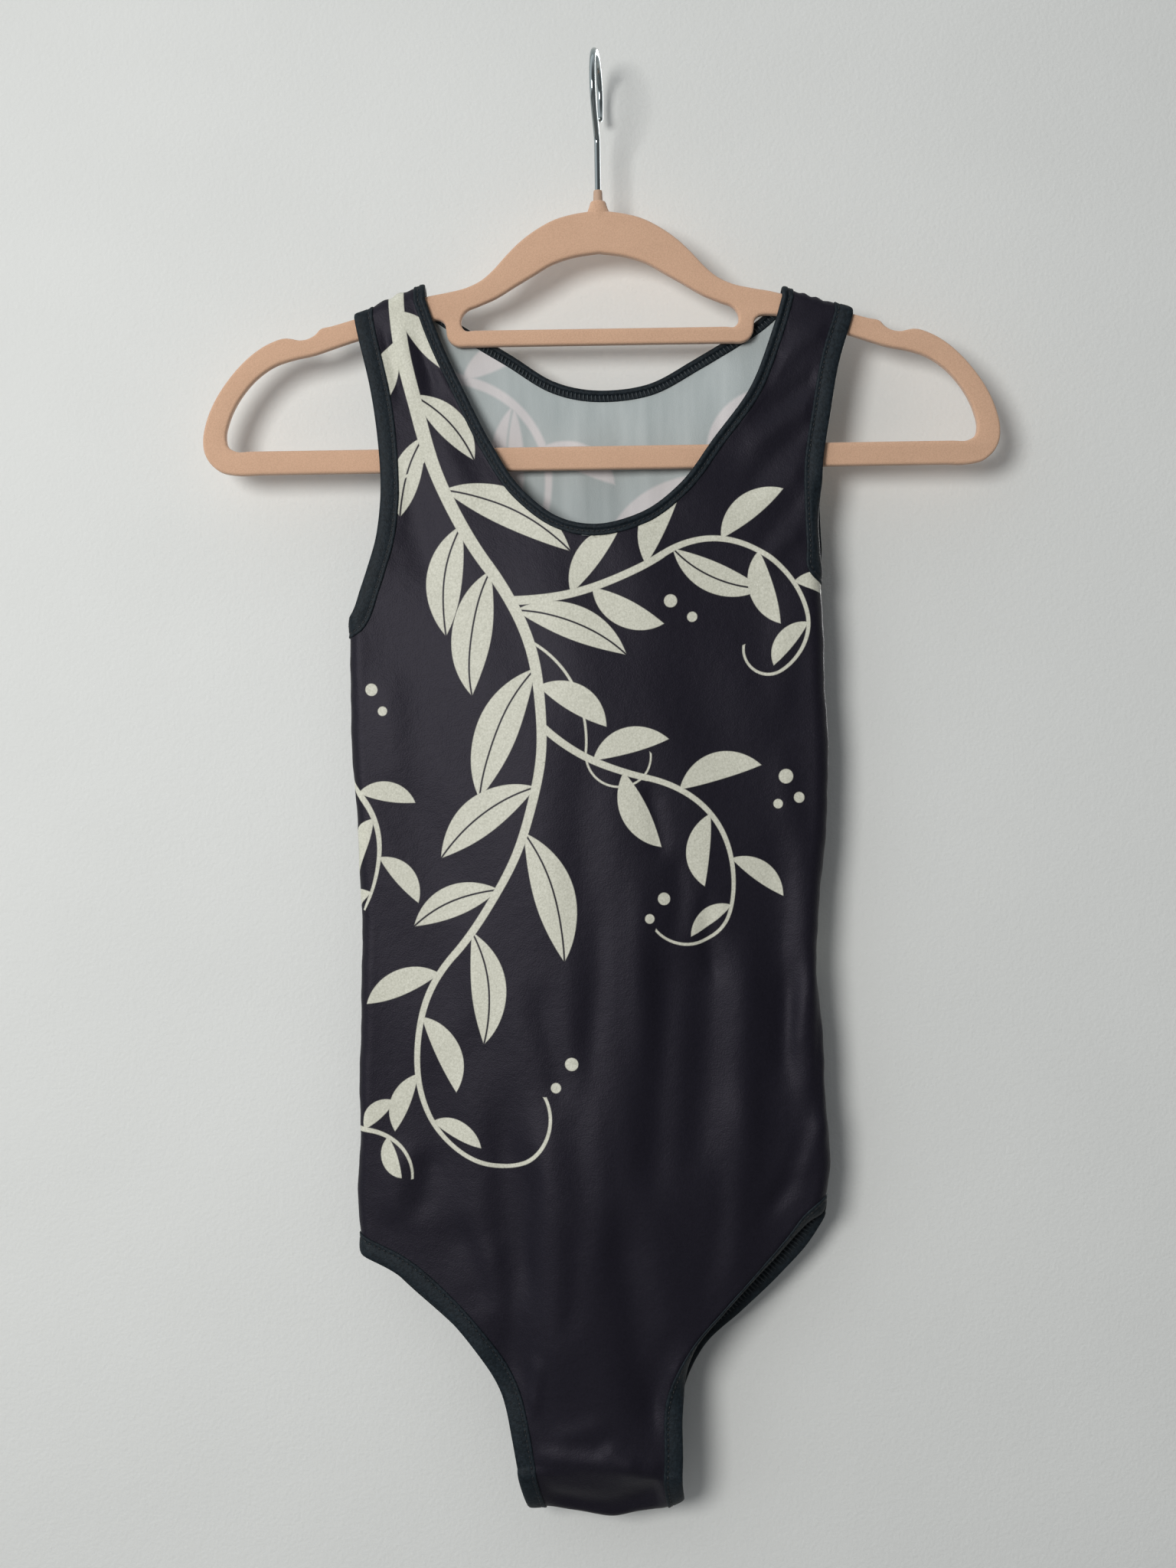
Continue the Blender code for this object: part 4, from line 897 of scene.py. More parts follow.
def panel(name, face):
    """One panel: both halves of its skin, creased, a hidden strip in each binding and a thin wall."""
    halves = {side: half_grid(face, side) for side in (LEFT, RIGHT)}
    normals = {side: grid_normals(halves[side][0], face) for side in (LEFT, RIGHT)}
    neck_row = SHOULDER_ROWS + NECK_ROWS
    shared = unit(normals[LEFT][neck_row:, -1] + normals[RIGHT][neck_row:, -1])
    for side in (LEFT, RIGHT):
        normals[side][neck_row:, -1] = shared
    points, faces, places, count = [], [], [], 0
    leg_row = neck_row + ARMHOLE_END_ROWS + SIDE_ROWS
    for side in (LEFT, RIGHT):
        base, across, along, bound = halves[side]
        offset = crease_offset(face, across, along, bound)
        grid = base + normals[side] * offset[..., None]
        rows, columns = grid.shape[:2]
        points.append(grid.reshape(-1, 3))
        faces.append(grid_faces(rows, columns, count))
        cloth = np.stack([across, along, np.zeros_like(along)], -1)
        places.append(cloth.reshape(-1, 3))
        count += rows * columns
        ends = {"armhole": (0, 0), "leg": (leg_row, 0), "neck": (0, -1)}
        for edge, (first, column) in ends.items():
            stitch, lift, outward, roll = edge_frames(face, side, edge)
            past = rolled_place(stitch, lift, outward, roll, HIDDEN_STRIP, 0.0)
            at_edge = grid[first : first + len(stitch), column]
            strip = np.stack([at_edge, past], 1)
            points.append(strip.reshape(-1, 3))
            faces.append(grid_faces(len(stitch), 2, count))
            places.append(np.repeat(cloth[first : first + len(stitch), column], 2, axis=0))
            count += 2 * len(stitch)
    points = np.concatenate(points)
    if face == FRONT:
        points = turned_under(points)
    made = mesh_object(name, sway(points), np.concatenate(faces))
    attribute = made.data.attributes.new("cloth_place", "FLOAT_VECTOR", "POINT")
    attribute.data.foreach_set("vector", np.concatenate(places).astype(np.float32).ravel())
    merged(made, 0.02)
    mesh = made.data
    middle = min(mesh.polygons, key=lambda p: (p.center - Vector((0, face * 0.018, -0.5))).length)
    if middle.normal.y * face < 0:
        mesh.flip_normals()
    wall = made.modifiers.new("wall", "SOLIDIFY")
    wall.thickness = SHELL * MM
    wall.offset = 0.0
    wall.material_offset = 1
    wall.material_offset_rim = 0
    return made


def binding_section(edge):
    """Closed section of a folded strip: distance past the stitch line, height above the cloth."""
    width, lip = BINDING_WIDTH[edge], BINDING_LIP[edge]
    face_line = [
        (-lip, 0.42), (-lip + 0.08, 0.82), (-lip + 0.45, 1.12), (-lip + 1.0, 1.2), (-lip + 1.7, 1.08),
        (-lip + 2.3, 0.86), (-lip + 2.9, 0.98), (-lip + 3.7, 1.26), (width * 0.55, 1.46),
        (width * 0.78, 1.38), (width * 0.91, 1.08), (width * 0.98, 0.6), (width, 0.0),
    ]
    back_line = [(out, -up) for out, up in face_line[-2::-1]]
    throat = [(-lip + 0.5, -0.3), (1.1, -0.3), (1.1, 0.3), (-lip + 0.5, 0.3)]
    return np.array(face_line + back_line + throat)


def smoothed_loop(values, passes):
    """Running mean of a closed row of vectors with its neighbours."""
    for _ in range(passes):
        values = (np.roll(values, 1, axis=0) + 2 * values + np.roll(values, -1, axis=0)) / 4
    return values


def binding_rings(loop, edge):
    """Rings of a folded strip carried along a closed edge.

    Past the stitch line a ring's points lie on the rolled arc. Inside it they lie on the skin.
    """
    section = binding_section(edge)
    stitch, normals, outward, roll = round_loop(loop, edge_frames, edge)
    normals = unit(smoothed_loop(normals, 3))
    outward = unit(square_to(smoothed_loop(outward, 3), normals))
    rings = np.empty((len(stitch), len(section), 3))
    for column, (out, up) in enumerate(section):
        if out >= 0:
            rings[:, column] = rolled_place(stitch, normals, outward, roll, out, up)
        else:
            inner, lift = round_loop(loop, edge_surface, edge, -out)
            rings[:, column] = inner + unit(smoothed_loop(lift, 2)) * up
    if edge == "leg" and loop[0][1] == RIGHT:
        count = len(edge_frames(FRONT, RIGHT, edge)[0])
        rings[:count] = turned_under(rings[:count])
    return rings


def round_loop(loop, worker, *values):
    """Arrays along a closed edge: a worker's for each half panel, reversed where the loop runs back."""
    parts = []
    for face, side, backwards in loop:
        step = -1 if backwards else 1
        parts.append([part[::step] for part in worker(face, side, *values)])
    return [np.concatenate(part) for part in zip(*parts)]


def loop_of(edge, side=None):
    """Half panels that one binding runs along, in order, and whether each is followed backwards."""
    if edge == "neck":
        return [(FRONT, LEFT, False), (FRONT, RIGHT, True), (BACK, RIGHT, False), (BACK, LEFT, True)]
    return [(FRONT, side, False), (BACK, side, True)]


def without_doubles(rings):
    """Rings less each that lies on the one before it."""
    step = np.linalg.norm(rings.mean(1) - np.roll(rings.mean(1), 1, axis=0), axis=-1)
    return rings[step > LEAST_RING_STEP]


def binding(name, edge, side=None):
    """One binding as a closed folded strip, and its rings for the stitches."""
    rings = sway(without_doubles(binding_rings(loop_of(edge, side), edge)))
    count, around = rings.shape[:2]
    faces = grid_faces(count + 1, around, closed=True) % (count * around)
    made = mesh_object(name, rings.reshape(-1, 3), faces)
    columns = np.arange(len(faces)) % around
    inner = (columns >= INNER_COLUMNS[0]) & (columns <= INNER_COLUMNS[1])
    made.data.polygons.foreach_set("material_index", inner.astype(np.int32))
    merged(made, 0.001)
    return made, rings


def loop_walk(rings, pitch):
    """Each ring's distance along a closed binding, and even starts about a pitch apart."""
    middle = rings.mean(1)
    places = walked(np.concatenate([middle, middle[:1]]))
    count = int(places[-1] / pitch)
    return places, np.arange(count) * places[-1] / count


def on_loop(rings, places, at, column):
    """Points of one line of a binding's rings at distances along the loop."""
    line = np.concatenate([rings[:, column], rings[:1, column]])
    at = at % places[-1]
    return np.stack([np.interp(at, places, line[:, k]) for k in range(3)], -1)


def capsules(name, starts, ends, normals, radius, lift):
    """Short threads with round ends: small rings carried from each start to its end, off the cloth."""
    share, thickness = np.array(THREAD_PROFILE).T
    angles = np.linspace(0, 2 * math.pi, THREAD_SIDES + 1)[:-1]
    run = ends - starts
    sides = unit(np.cross(run, normals))
    ups = unit(np.cross(sides, run))
    rise = lift * (0.6 + 0.4 * np.sin(math.pi * share))
    middle = starts[:, None] + run[:, None] * share[:, None] + ups[:, None] * rise[:, None]
    ring = sides[:, None, None] * np.cos(angles)[:, None] + ups[:, None, None] * np.sin(angles)[:, None]
    shape = middle[:, :, None] + ring * (radius * thickness)[:, None, None]
    per = len(share) * len(angles)
    one = grid_faces(len(share), len(angles), closed=True)
    faces = (one[None] + np.arange(len(starts))[:, None, None] * per).reshape(-1, 4)
    return closed_ends(mesh_object(name, shape.reshape(-1, 3), faces))


def stitch_row(name, rings):
    """Stitches in the groove beside a binding's cloth edge, end to end along it."""
    places, at = loop_walk(rings, STITCH_PITCH)
    centre = on_loop(rings, places, at, THROAT_COLUMN)
    starts = on_loop(rings, places, at, GROOVE_COLUMN)
    ends = on_loop(rings, places, at + STITCH_LENGTH, GROOVE_COLUMN)
    return capsules(name, starts, ends, unit(starts - centre), STITCH_RADIUS, STITCH_RADIUS * 0.4)


def ladder_row(name, rings):
    """Looped thread across the inside of a binding: rungs side by side along it."""
    places, at = loop_walk(rings, RUNG_PITCH)
    centre = on_loop(rings, places, at, THROAT_COLUMN)
    starts = on_loop(rings, places, at, RUNG_COLUMNS[0])
    ends = on_loop(rings, places, at + RUNG_PITCH * 0.3, RUNG_COLUMNS[1])
    return capsules(name, starts, ends, unit((starts + ends) / 2 - centre), RUNG_RADIUS, RUNG_RADIUS * 0.5)


def hanger_outline():
    """Right half of the hanger's outer edge, from the boss to the middle of the bottom bar: x, z."""
    arch = [(0, -86.5), (14.5, -88.5), (24.3, -91.2), (34.2, -96.3), (44.2, -103.5), (52.5, -111.6)]
    arch += [(59.1, -118.8), (65.8, -124.5), (74.1, -128.5), (83.9, -130.9)]
    arm = [(ARM_START_X, ARM_START_Z), (122.0, float(arm_top(122.0))), (149.7, float(arm_top(149.7)))]
    notch = [(156.3, -150.6), (158.8, -153.3), (163, -155.7), (168, -156.4), (172, -155.6), (175.2, -155.2)]
    end = [(184.3, -157.8), (192.5, -162.6), (200.9, -169.9), (209.1, -179.5), (215.9, -190.1)]
    end += [(220.6, -201.5), (HANGER_HALF_WIDTH, -211.3), (221.8, -218.5), (218.6, -224.5)]
    end += [(212.8, -229.2), (205, BAR_BOTTOM_Z), (190, BAR_BOTTOM_Z), (100, BAR_BOTTOM_Z)]
    return arch + arm + notch + end


def arch_hole():
    """Right half of the hole between the arch and the tie bar, from its top: x, z."""
    curve = [(0, -110), (14.8, -112.2), (26.3, -116), (36.2, -121.7), (46.2, -127.5), (57.8, -134.4)]
    leg = [(67.7, -138.6), (74.3, -141.5), (76.8, -144.8), (77.2, -150), (75.2, TIE_TOP_Z)]
    return curve + leg + [(70, TIE_TOP_Z), (35, TIE_TOP_Z)]


def frame_hole():
    """Right half of the hole between the arms and the bottom bar, from the tie bar: x, z."""
    tie = [(40, TIE_BOTTOM_Z), (74, TIE_BOTTOM_Z), (79, TIE_BOTTOM_Z), (82.8, -159.6), (85.2, -156.3)]
    tie += [(85.9, -152), (86.6, -148.6)]
    arm = [(89, -146.6), (92.5, -146), (115, -151.4), (137.6, -157.4), (149.9, -161.4)]
    arm += [(159.8, -164.6), (171.3, -167)]
    end = [(181.2, -170.2), (191, -176.6), (198.6, -184.6), (204.5, -193.6), (207.9, -201.7), (209.6, -210)]
    end += [(208.4, -215.4), (204, BAR_TOP_Z), (196, BAR_TOP_Z), (100, BAR_TOP_Z)]
    return tie + arm + end


def closed_outline(half):
    """Smooth closed outline from its right half, with its own points kept and some between."""
    points = half + [(-x, z) for x, z in half[::-1] if x]
    points = np.array(points + points[:1], float)
    count = (len(points) - 1) * OUTLINE_STEPS
    places = walked(points)
    at = np.interp(np.linspace(0, len(points) - 1, count + 1), np.arange(len(points)), places)
    return line_points(points, at / places[-1])[:-1]


def hanger_body():
    """Flat hanger: its outline less its two holes, filled, thickened both ways and rounded."""
    curve = bpy.data.curves.new("hanger_outline", "CURVE")
    curve.dimensions = "2D"
    curve.fill_mode = "BOTH"
    curve.extrude = (HANGER_THICKNESS / 2 - HANGER_EDGE_ROUND) * MM
    curve.bevel_depth = HANGER_EDGE_ROUND * MM
    curve.bevel_resolution = 4
    curve.offset = -HANGER_EDGE_ROUND * MM
    for half in (hanger_outline(), arch_hole(), frame_hole()):
        outline = closed_outline(half)
        spline = curve.splines.new("POLY")
        spline.points.add(len(outline) - 1)
        rows = np.concatenate([outline * MM, np.zeros((len(outline), 1)), np.ones((len(outline), 1))], 1)
        spline.points.foreach_set("co", rows.ravel().astype(np.float32))
        spline.use_cyclic_u = True
    flat = added("hanger_outline", curve)
    flat.rotation_euler = (math.pi / 2, 0, 0)
    bpy.context.view_layer.update()
    mesh = bpy.data.meshes.new_from_object(flat.evaluated_get(bpy.context.evaluated_depsgraph_get()))
    mesh.transform(flat.matrix_world)
    bpy.data.objects.remove(flat)
    made = added("hanger", mesh)
    merged(made, 0.01)
    mesh.set_sharp_from_angle(angle=math.radians(50))
    return made


def stem_piece(name, profile, segments):
    """Piece round the hook's stem: the profile's ellipses, one above another."""
    half_width, half_depth, height = np.array(profile, float).T
    angles = np.linspace(0, 2 * math.pi, segments + 1)[:-1]
    x = half_width[:, None] * np.cos(angles)
    y = half_depth[:, None] * np.sin(angles)
    points = np.stack([x, y, np.broadcast_to(height[:, None], x.shape)], -1)
    made = mesh_object(name, points.reshape(-1, 3), grid_faces(len(height), segments, closed=True))
    closed_ends(made)
    made.data.set_sharp_from_angle(angle=math.radians(60))
    return made


def hook_path():
    """Centre line of the wire in the hook's own plane: stem, bend and open ring."""
    radius = HOOK_INNER_RADIUS + WIRE_RADIUS
    start = math.radians(HOOK_START_ANGLE)
    ring_start = (radius * math.cos(start), -HOOK_INNER_RADIUS + radius * math.sin(start))
    direction = (-math.sin(start), math.cos(start))
    meet_z = ring_start[1] - ring_start[0] * direction[1] / direction[0]
    turn = math.pi / 2 - math.atan2(direction[1], direction[0])
    setback = HOOK_BEND_RADIUS * math.tan(turn / 2)
    bend = turn * np.linspace(0, 1, HOOK_BEND_RINGS)
    bend_line = np.stack([
        HOOK_BEND_RADIUS * (1 - np.cos(bend)), meet_z - setback + HOOK_BEND_RADIUS * np.sin(bend),
    ], -1)
    ring = np.radians(np.linspace(HOOK_START_ANGLE, HOOK_END_ANGLE, HOOK_ROUND_RINGS))
    ring_line = np.stack([radius * np.cos(ring), -HOOK_INNER_RADIUS + radius * np.sin(ring)], -1)
    stem_z = np.linspace(HOOK_FOOT_Z, meet_z - setback - 0.5, HOOK_STEM_RINGS)
    stem_line = np.stack([np.zeros(HOOK_STEM_RINGS), stem_z], -1)
    return np.concatenate([stem_line, bend_line, ring_line])


def hook():
    """Wire hook: a circle carried along its path, with a rounded end."""
    yaw = math.radians(HOOK_YAW)
    out, z = hook_path().T
    line = np.stack([-out * math.sin(yaw), -out * math.cos(yaw), z], -1)
    end_run = unit(line[-1] - line[-2])
    end_ahead, end_across = np.array(WIRE_END).T
    line = np.concatenate([line, line[-1] + end_run * WIRE_RADIUS * end_ahead[:, None]])
    radius = np.full(len(line), WIRE_RADIUS)
    radius[-len(end_across):] = WIRE_RADIUS * end_across
    ahead = unit(np.gradient(line, axis=0))
    sideways = np.array([math.cos(yaw), -math.sin(yaw), 0.0])
    upright = unit(np.cross(ahead, sideways))
    angles = np.linspace(0, 2 * math.pi, WIRE_SIDES + 1)[:-1]
    ring = sideways * np.cos(angles)[None, :, None] + upright[:, None] * np.sin(angles)[None, :, None]
    shape = line[:, None] + ring * radius[:, None, None]
    made = mesh_object("wire_hook", shape.reshape(-1, 3), grid_faces(len(line), len(angles), closed=True))
    return closed_ends(made)


# Plain finishes: colour, roughness, metallic, specular level, grain as noise scale, detail and
# stretch, distance of its bump in metres
PLAIN_FINISHES = {
    "stitch_thread": ((0.0022, 0.003, 0.005), 0.5, 0.0, 0.5, (2500, 1), 0.0001),
    "binding_inside": ((0.004, 0.006, 0.008), 0.7, 0.0, 0.15, (900, 2), 0.0002),
    "loop_thread": ((0.016, 0.024, 0.030), 0.6, 0.0, 0.5, (2200, 1), 0.0001),
    # The sleeve's colour is darker and browner than the flocking's.
    "sleeve_darker_brown": ((0.47, 0.32, 0.23), 0.65, 0.0, 0.5, (700, 2), 0.00008),
    "polished_wire": ((0.34, 0.385, 0.395), 0.13, 1.0, 0.5, (400, 2, (1, 1, 0.1)), 0.00004),
    "floor_paint": ((0.22, 0.22, 0.22), 0.8, 0.0, 0.5, (60, 2), 0.0004),
}


def finish(name, colour, roughness, metallic=0.0, specular=0.5, sheen=0.0):
    """New material with its shader's constant values set."""
    material = bpy.data.materials.new(name)
    material.use_nodes = True
    shader = material.node_tree.nodes["Principled BSDF"]
    for socket, value in (
        ("Base Color", (*colour, 1)), ("Roughness", roughness), ("Metallic", metallic),
        ("Specular IOR Level", specular), ("Sheen Weight", sheen),
    ):
        shader.inputs[socket].default_value = value
    return material, material.node_tree, shader


def plain_finish(name):
    """Material of one colour with a fine grain."""
    colour, roughness, metallic, specular, grain, distance = PLAIN_FINISHES[name]
    material, tree, shader = finish(name, colour, roughness, metallic, specular)
    bumped(tree, shader, [(object_noise(tree, *grain), 1.0)], distance)
    return material


def node(tree, kind, **values):
    """New node. A value goes to the input of that name or else the property, and an output is linked."""
    made = tree.nodes.new(kind)
    for name, value in values.items():
        word = name.replace("_", " ").title()
        if isinstance(value, bpy.types.NodeSocket):
            tree.links.new(value, made.inputs[word])
        elif word in made.inputs:
            made.inputs[word].default_value = value
        else:
            setattr(made, name, value)
    return made


def maths(tree, operation, *terms):
    """Result of a math node whose terms are numbers or other nodes' outputs."""
    made = node(tree, "ShaderNodeMath", operation=operation)
    for socket, term in zip(made.inputs, terms):
        if isinstance(term, (int, float)):
            socket.default_value = term
        else:
            tree.links.new(term, socket)
    return made.outputs[0]


def object_noise(tree, scale, detail=2.0, stretch=(1, 1, 1)):
    """Noise on Object coordinates, stretched along the axes."""
    place = node(tree, "ShaderNodeTexCoord").outputs["Object"]
    mapping = node(tree, "ShaderNodeMapping", scale=stretch, vector=place)
    noise = node(tree, "ShaderNodeTexNoise", scale=scale, detail=detail, vector=mapping.outputs["Vector"])
    return noise.outputs["Fac"]


def ramp(tree, value, first, last, low=0.3, high=0.7):
    """Colour that runs from the first to the last as a value goes from low to high."""
    made = node(tree, "ShaderNodeValToRGB", fac=value)
    for element, position, colour in zip(made.color_ramp.elements, (low, high), (first, last)):
        element.position = position
        element.color = (*colour, 1)
    return made.outputs["Color"]


def bumped(tree, shader, heights, distance):
    """Bump from the sum of (height output, weight) pairs."""
    total = None
    for height, weight in heights:
        scaled = maths(tree, "MULTIPLY", height, weight)
        total = scaled if total is None else maths(tree, "ADD", total, scaled)
    bump = node(tree, "ShaderNodeBump", distance=distance, strength=1.0, height=total)
    tree.links.new(bump.outputs["Normal"], shader.inputs["Normal"])


def mix_colour(tree, factor, first, second):
    """Colour between two outputs by a factor output."""
    mix = node(tree, "ShaderNodeMix", data_type="RGBA")
    for value, socket in ((factor, 0), (first, 6), (second, 7)):
        tree.links.new(value, mix.inputs[socket])
    return mix.outputs[2]


def mottled(tree, cloud, grain, tones):
    """Colour of a grain between two tones, which a cloud mixes. A tone is its two ends."""
    first, second = [ramp(tree, grain, *tone) for tone in tones]
    return mix_colour(tree, cloud, first, second)


def print_mask(tree, face, soft):
    """1 on the print and 0 off it, worked out from circles on the cloth's own flat coordinates.

    A stem lies within a half width of its circle, and inside a disc round its arc's middle. A leaf
    lies inside the circles of both its sides, and a wide one is split along its midrib.
    """
    place = node(tree, "ShaderNodeAttribute", attribute_name="cloth_place").outputs["Vector"]

    def distance(centre):
        made = node(tree, "ShaderNodeVectorMath", operation="DISTANCE")
        made.inputs[1].default_value = (centre[0], centre[1], 0)
        tree.links.new(place, made.inputs[0])
        return made.outputs["Value"]

    def past(centre, radius):
        return maths(tree, "SUBTRACT", distance(centre), radius)

    arcs, leaves = vine_shapes(face)
    shapes = []
    for centre, radius, middle, reach, end, at_end, growth in arcs:
        off = maths(tree, "ABSOLUTE", past(centre, radius))
        half = maths(tree, "MULTIPLY_ADD", distance(end), growth, at_end)
        shapes.append(maths(tree, "MAXIMUM", maths(tree, "SUBTRACT", off, half), past(middle, reach)))
    for (left, right, rib), width in leaves:
        shape = maths(tree, "MAXIMUM", past(*left), past(*right))
        if width > LEAF_SPLIT_WIDTH:
            off = maths(tree, "ABSOLUTE", past(*rib))
            shape = maths(tree, "MAXIMUM", shape, maths(tree, "SUBTRACT", LEAF_SPLIT_GAP / 2, off))
        shapes.append(shape)
    shapes += [past((x, z), radius) for x, z, radius in BERRIES[face]]
    nearest = shapes[0]
    for shape in shapes[1:]:
        nearest = maths(tree, "MINIMUM", nearest, shape)
    return node(tree, "ShaderNodeMapRange", value=nearest, from_min=soft, from_max=-soft).outputs["Result"]


def panel_outside(face):
    """Printed side of the jersey: near black with an off-white print, a fine knit and a dull sheen."""
    material, tree, shader = finish("panel_jersey", (0.010, 0.009, 0.015), 0.5, specular=0.2)
    shader.inputs["Specular Tint"].default_value = (0.9, 0.86, 1.0, 1)
    grain = object_noise(tree, 900, 3)
    dark = mottled(tree, object_noise(tree, 22, 2), grain, [
        ((0.0064, 0.0058, 0.0100), (0.0096, 0.0088, 0.0145)),
        ((0.0080, 0.0073, 0.0122), (0.0115, 0.0105, 0.0168)),
    ])
    pale = ramp(tree, grain, (0.50, 0.50, 0.42), (0.66, 0.66, 0.57), high=0.72)
    tree.links.new(mix_colour(tree, print_mask(tree, face, 0.25), dark, pale), shader.inputs["Base Color"])
    bumped(tree, shader, [(object_noise(tree, 1300, 2), 0.7), (object_noise(tree, 160, 2), 1.0)], 0.00022)
    return material


def panel_inside(face):
    """Unprinted side of the jersey: pale blue grey, with the print showing through faintly."""
    material, tree, shader = finish("panel_inside", (0.42, 0.47, 0.47), 0.75, sheen=0.1)
    streak = object_noise(tree, 60, 3, (1.6, 1.6, 0.22))
    plain = ramp(tree, streak, (0.36, 0.405, 0.41), (0.45, 0.495, 0.50))
    ghost = ramp(tree, streak, (0.56, 0.54, 0.55), (0.66, 0.635, 0.64))
    tree.links.new(mix_colour(tree, print_mask(tree, face, 0.8), plain, ghost), shader.inputs["Base Color"])
    bumped(tree, shader, [(object_noise(tree, 1300, 2), 0.7), (object_noise(tree, 120, 2), 0.8)], 0.0002)
    return material


def binding_finish():
    """Bindings: dark blue green, slightly heathered, with a fine grain."""
    material, tree, shader = finish("binding_jersey", (0.008, 0.013, 0.017), 0.6, specular=0.2)
    heather = object_noise(tree, 620, 3)
    colour = ramp(tree, heather, (0.0028, 0.0062, 0.0092), (0.0105, 0.0175, 0.024), 0.32, 0.68)
    tree.links.new(colour, shader.inputs["Base Color"])
    bumped(tree, shader, [(object_noise(tree, 1500, 2), 0.6), (heather, 1.0)], 0.00025)
    return material


def flock_finish():
    """Flocked hanger: blush with a fine velvet nap, a little uneven."""
    material, tree, shader = finish("flocking", (0.66, 0.42, 0.28), 0.95, sheen=0.25)
    nap = object_noise(tree, 1500, 3)
    colour = mottled(tree, object_noise(tree, 45, 3), nap, [
        ((0.52, 0.325, 0.215), (0.63, 0.40, 0.272)), ((0.57, 0.355, 0.238), (0.68, 0.44, 0.30)),
    ])
    tree.links.new(colour, shader.inputs["Base Color"])
    bumped(tree, shader, [(nap, 1.0), (object_noise(tree, 3000, 2), 0.6)], 0.00018)
    return material


def wall_finish():
    """Pale painted wall, seen from its front only, so that it hides nothing from behind."""
    material, tree, shader = finish("wall_paint", (0.70, 0.715, 0.70), 0.85)
    colour = ramp(tree, object_noise(tree, 9, 2), (0.69, 0.705, 0.695), (0.71, 0.725, 0.715))
    tree.links.new(colour, shader.inputs["Base Color"])
    bumped(tree, shader, [(object_noise(tree, 520, 3), 1.0), (object_noise(tree, 120, 2), 0.5)], 0.00022)
    facing = node(tree, "ShaderNodeNewGeometry").outputs["Backfacing"]
    clear = node(tree, "ShaderNodeBsdfTransparent").outputs["BSDF"]
    mix = node(tree, "ShaderNodeMixShader")
    for value, socket in zip((facing, shader.outputs["BSDF"], clear), mix.inputs):
        tree.links.new(value, socket)
    tree.links.new(mix.outputs[0], tree.nodes["Material Output"].inputs["Surface"])
    return material


def put(piece, slot, *materials):
    """Gives a piece its materials and its body. The slot is not used."""
    piece.data.materials.clear()
    for material in materials:
        piece.data.materials.append(material)
    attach(piece, "root")
    return piece


WALL_Y = 32.0
WALL_TOP_Z = 2600.0
FLOOR_Z = -1180.0
ROOM_REACH = 4000.0
# Direction in which the room is dimmer, and how the cosine with it turns into strength
DIM_TOWARDS = (0.56, -0.82, -0.12)
DIM_RANGE = {"from_min": -0.1, "from_max": 0.85, "to_min": 1.0, "to_max": 0.13}
LIGHT_TARGET = (0, 0, -430)
CAMERA_DISTANCE = 950.0
CAMERA_X = -10.7
CAMERA_Z = -406.5
CAMERA_ROLL = 0.9
SENSOR_SIZE = 36.0
FRAME_HEIGHT = 876.5


def plane(name, corners, material):
    """One flat face of the room."""
    made = mesh_object(name, corners, [(0, 1, 2, 3)], smooth=False)
    made.data.materials.append(material)
    return made


def surroundings():
    """Light of the room: dimmer behind the camera and to the right, which the cloth and wire mirror."""
    world = bpy.data.worlds.new("studio")
    bpy.context.scene.world = world
    world.use_nodes = True
    tree = world.node_tree
    sky = tree.nodes["Background"]
    sky.inputs["Color"].default_value = (0.95, 0.975, 1.0, 1)
    lobe = node(tree, "ShaderNodeVectorMath", operation="DOT_PRODUCT")
    lobe.inputs[1].default_value = DIM_TOWARDS
    tree.links.new(node(tree, "ShaderNodeTexCoord").outputs["Generated"], lobe.inputs[0])
    dim = node(tree, "ShaderNodeMapRange", interpolation_type="SMOOTHSTEP", **DIM_RANGE)
    tree.links.new(lobe.outputs["Value"], dim.inputs["Value"])
    tree.links.new(dim.outputs["Result"], sky.inputs["Strength"])


def area_light(name, place, size, power, colour):
    """Round lamp that faces the leotard."""
    data = bpy.data.lights.new(name, "AREA")
    data.shape = "DISK"
    data.size = size * MM
    data.energy = power
    data.color = colour
    lamp = added(name, data)
    lamp.location = Vector(place) * MM
    lamp.rotation_euler = (Vector(LIGHT_TARGET) - Vector(place)).to_track_quat("-Z", "Y").to_euler()
    return lamp


def camera():
    """Camera straight in front, rolled as the photograph's was."""
    data = bpy.data.cameras.new("camera")
    data.sensor_width = SENSOR_SIZE
    data.lens = SENSOR_SIZE * CAMERA_DISTANCE / FRAME_HEIGHT
    data.clip_start = 0.01
    made = added("camera", data)
    made.location = (CAMERA_X * MM, -CAMERA_DISTANCE * MM, CAMERA_Z * MM)
    made.rotation_euler = (math.pi / 2, math.radians(CAMERA_ROLL), 0)
    bpy.context.scene.camera = made
    bpy.context.scene.view_settings.view_transform = "Standard"


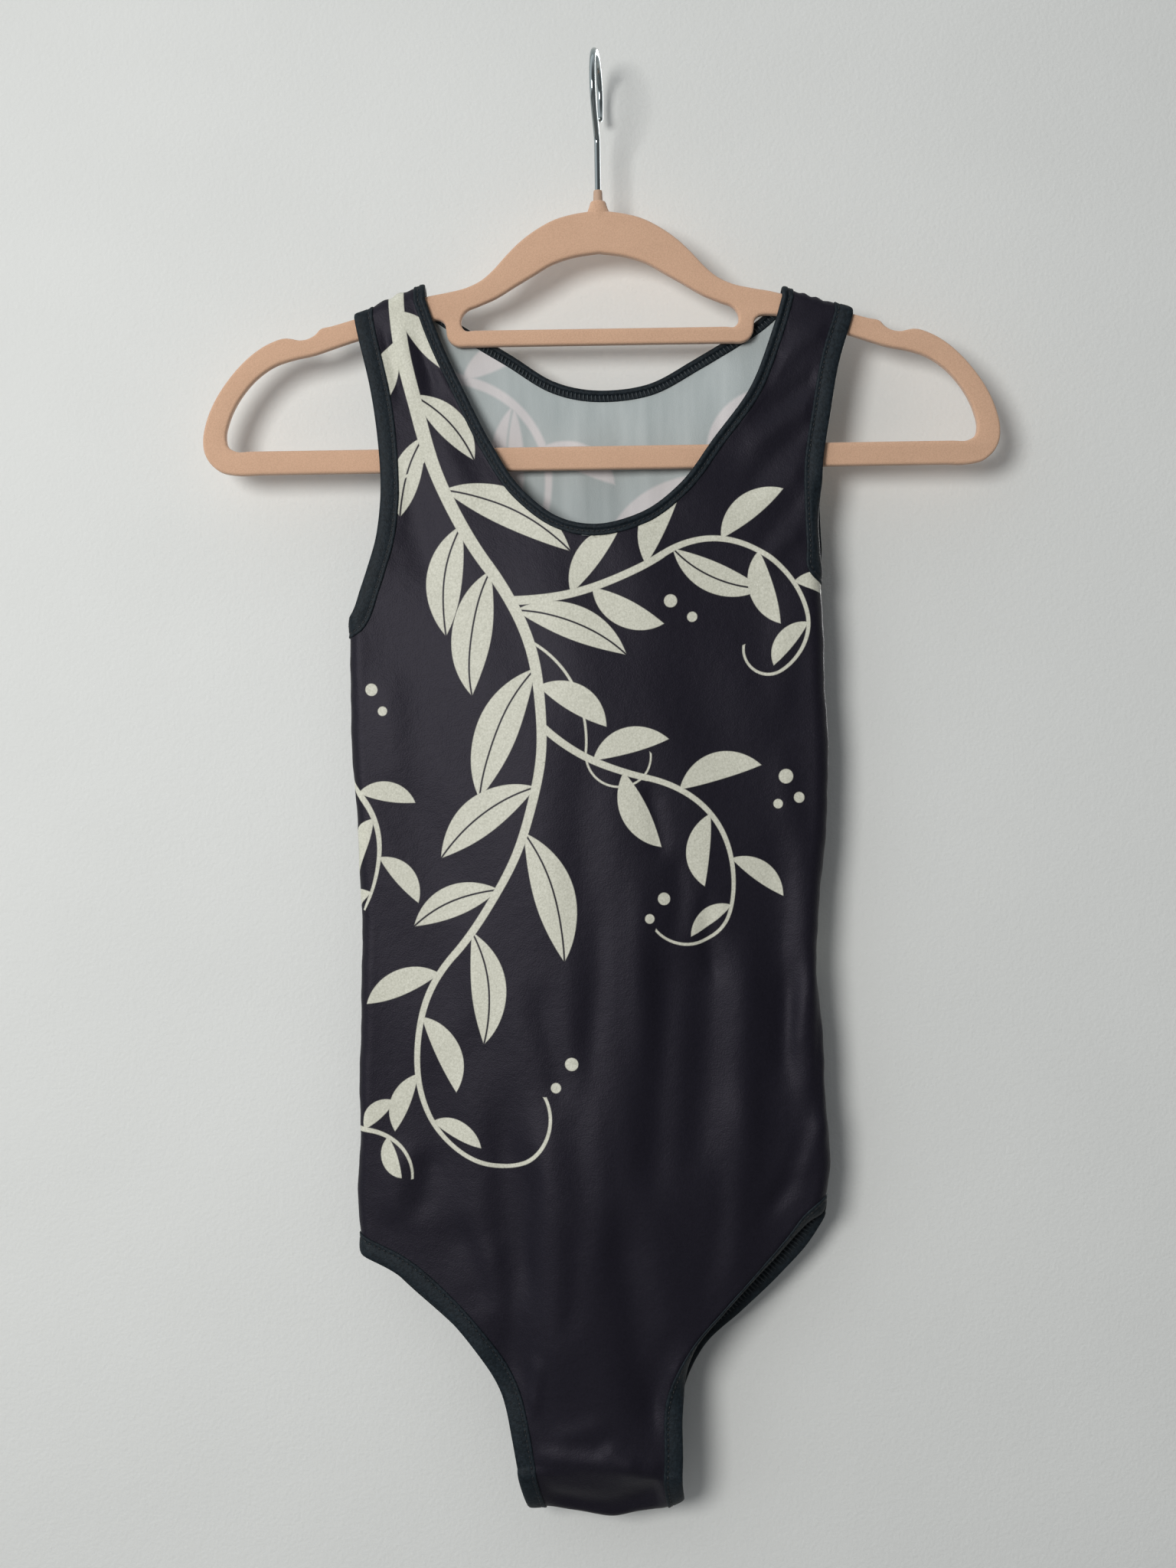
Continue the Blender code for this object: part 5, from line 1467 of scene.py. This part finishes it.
def room():
    """Wall behind the hanger, floor below it, the lights and the camera."""
    wall = plane("wall", [
        (-ROOM_REACH, WALL_Y, FLOOR_Z), (ROOM_REACH, WALL_Y, FLOOR_Z),
        (ROOM_REACH, WALL_Y, WALL_TOP_Z), (-ROOM_REACH, WALL_Y, WALL_TOP_Z),
    ], wall_finish())
    floor = plane("floor", [
        (-ROOM_REACH, -ROOM_REACH, FLOOR_Z), (ROOM_REACH, -ROOM_REACH, FLOOR_Z),
        (ROOM_REACH, ROOM_REACH, FLOOR_Z), (-ROOM_REACH, ROOM_REACH, FLOOR_Z),
    ], plain_finish("floor_paint"))
    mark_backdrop(wall, floor)
    surroundings()
    area_light("key", (-660, -1500, -150), 580, 18.0, (1.0, 0.985, 0.955))
    back = area_light("back", (700, 1900, 300), 1400, 30.0, (1.0, 1.0, 1.0))
    lit = bpy.data.collections.new("lit_from_behind")
    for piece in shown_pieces():
        lit.objects.link(piece)
    back.light_linking.receiver_collection = lit
    back.light_linking.blocker_collection = lit
    camera()


def main():
    strip = binding_finish()
    thread, inner, rung = [plain_finish(name) for name in ("stitch_thread", "binding_inside", "loop_thread")]
    for face, word in ((FRONT, "front"), (BACK, "back")):
        made = panel(f"{word}_cloth", face)
        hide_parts(f"{word}_panel")
        put(made, "panel_cloth", panel_outside(face), panel_inside(face))
    for edge, side, word in (
        ("neck", None, "neck"), ("armhole", LEFT, "left_armhole"), ("armhole", RIGHT, "right_armhole"),
        ("leg", LEFT, "left_leg"), ("leg", RIGHT, "right_leg"),
    ):
        made, rings = binding(f"{word}_strip", edge, side)
        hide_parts(f"{word}_binding")
        put(made, "binding_cloth", strip, inner)
        put(stitch_row(f"{word}_stitches", rings), "binding_cloth", thread)
        put(ladder_row(f"{word}_rungs", rings), "binding_cloth", rung)
    flock = flock_finish()
    hanger = hanger_body()
    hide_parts("hanger_body")
    put(hanger, "flock", flock)
    put(stem_piece("hanger_boss", BOSS_PROFILE, 48), "flock", flock)
    put(stem_piece("hook_sleeve", SLEEVE_PROFILE, 32), "flock", plain_finish("sleeve_darker_brown"))
    wire = hook()
    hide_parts("hook")
    put(wire, "chrome", plain_finish("polished_wire"))
    room()


main()
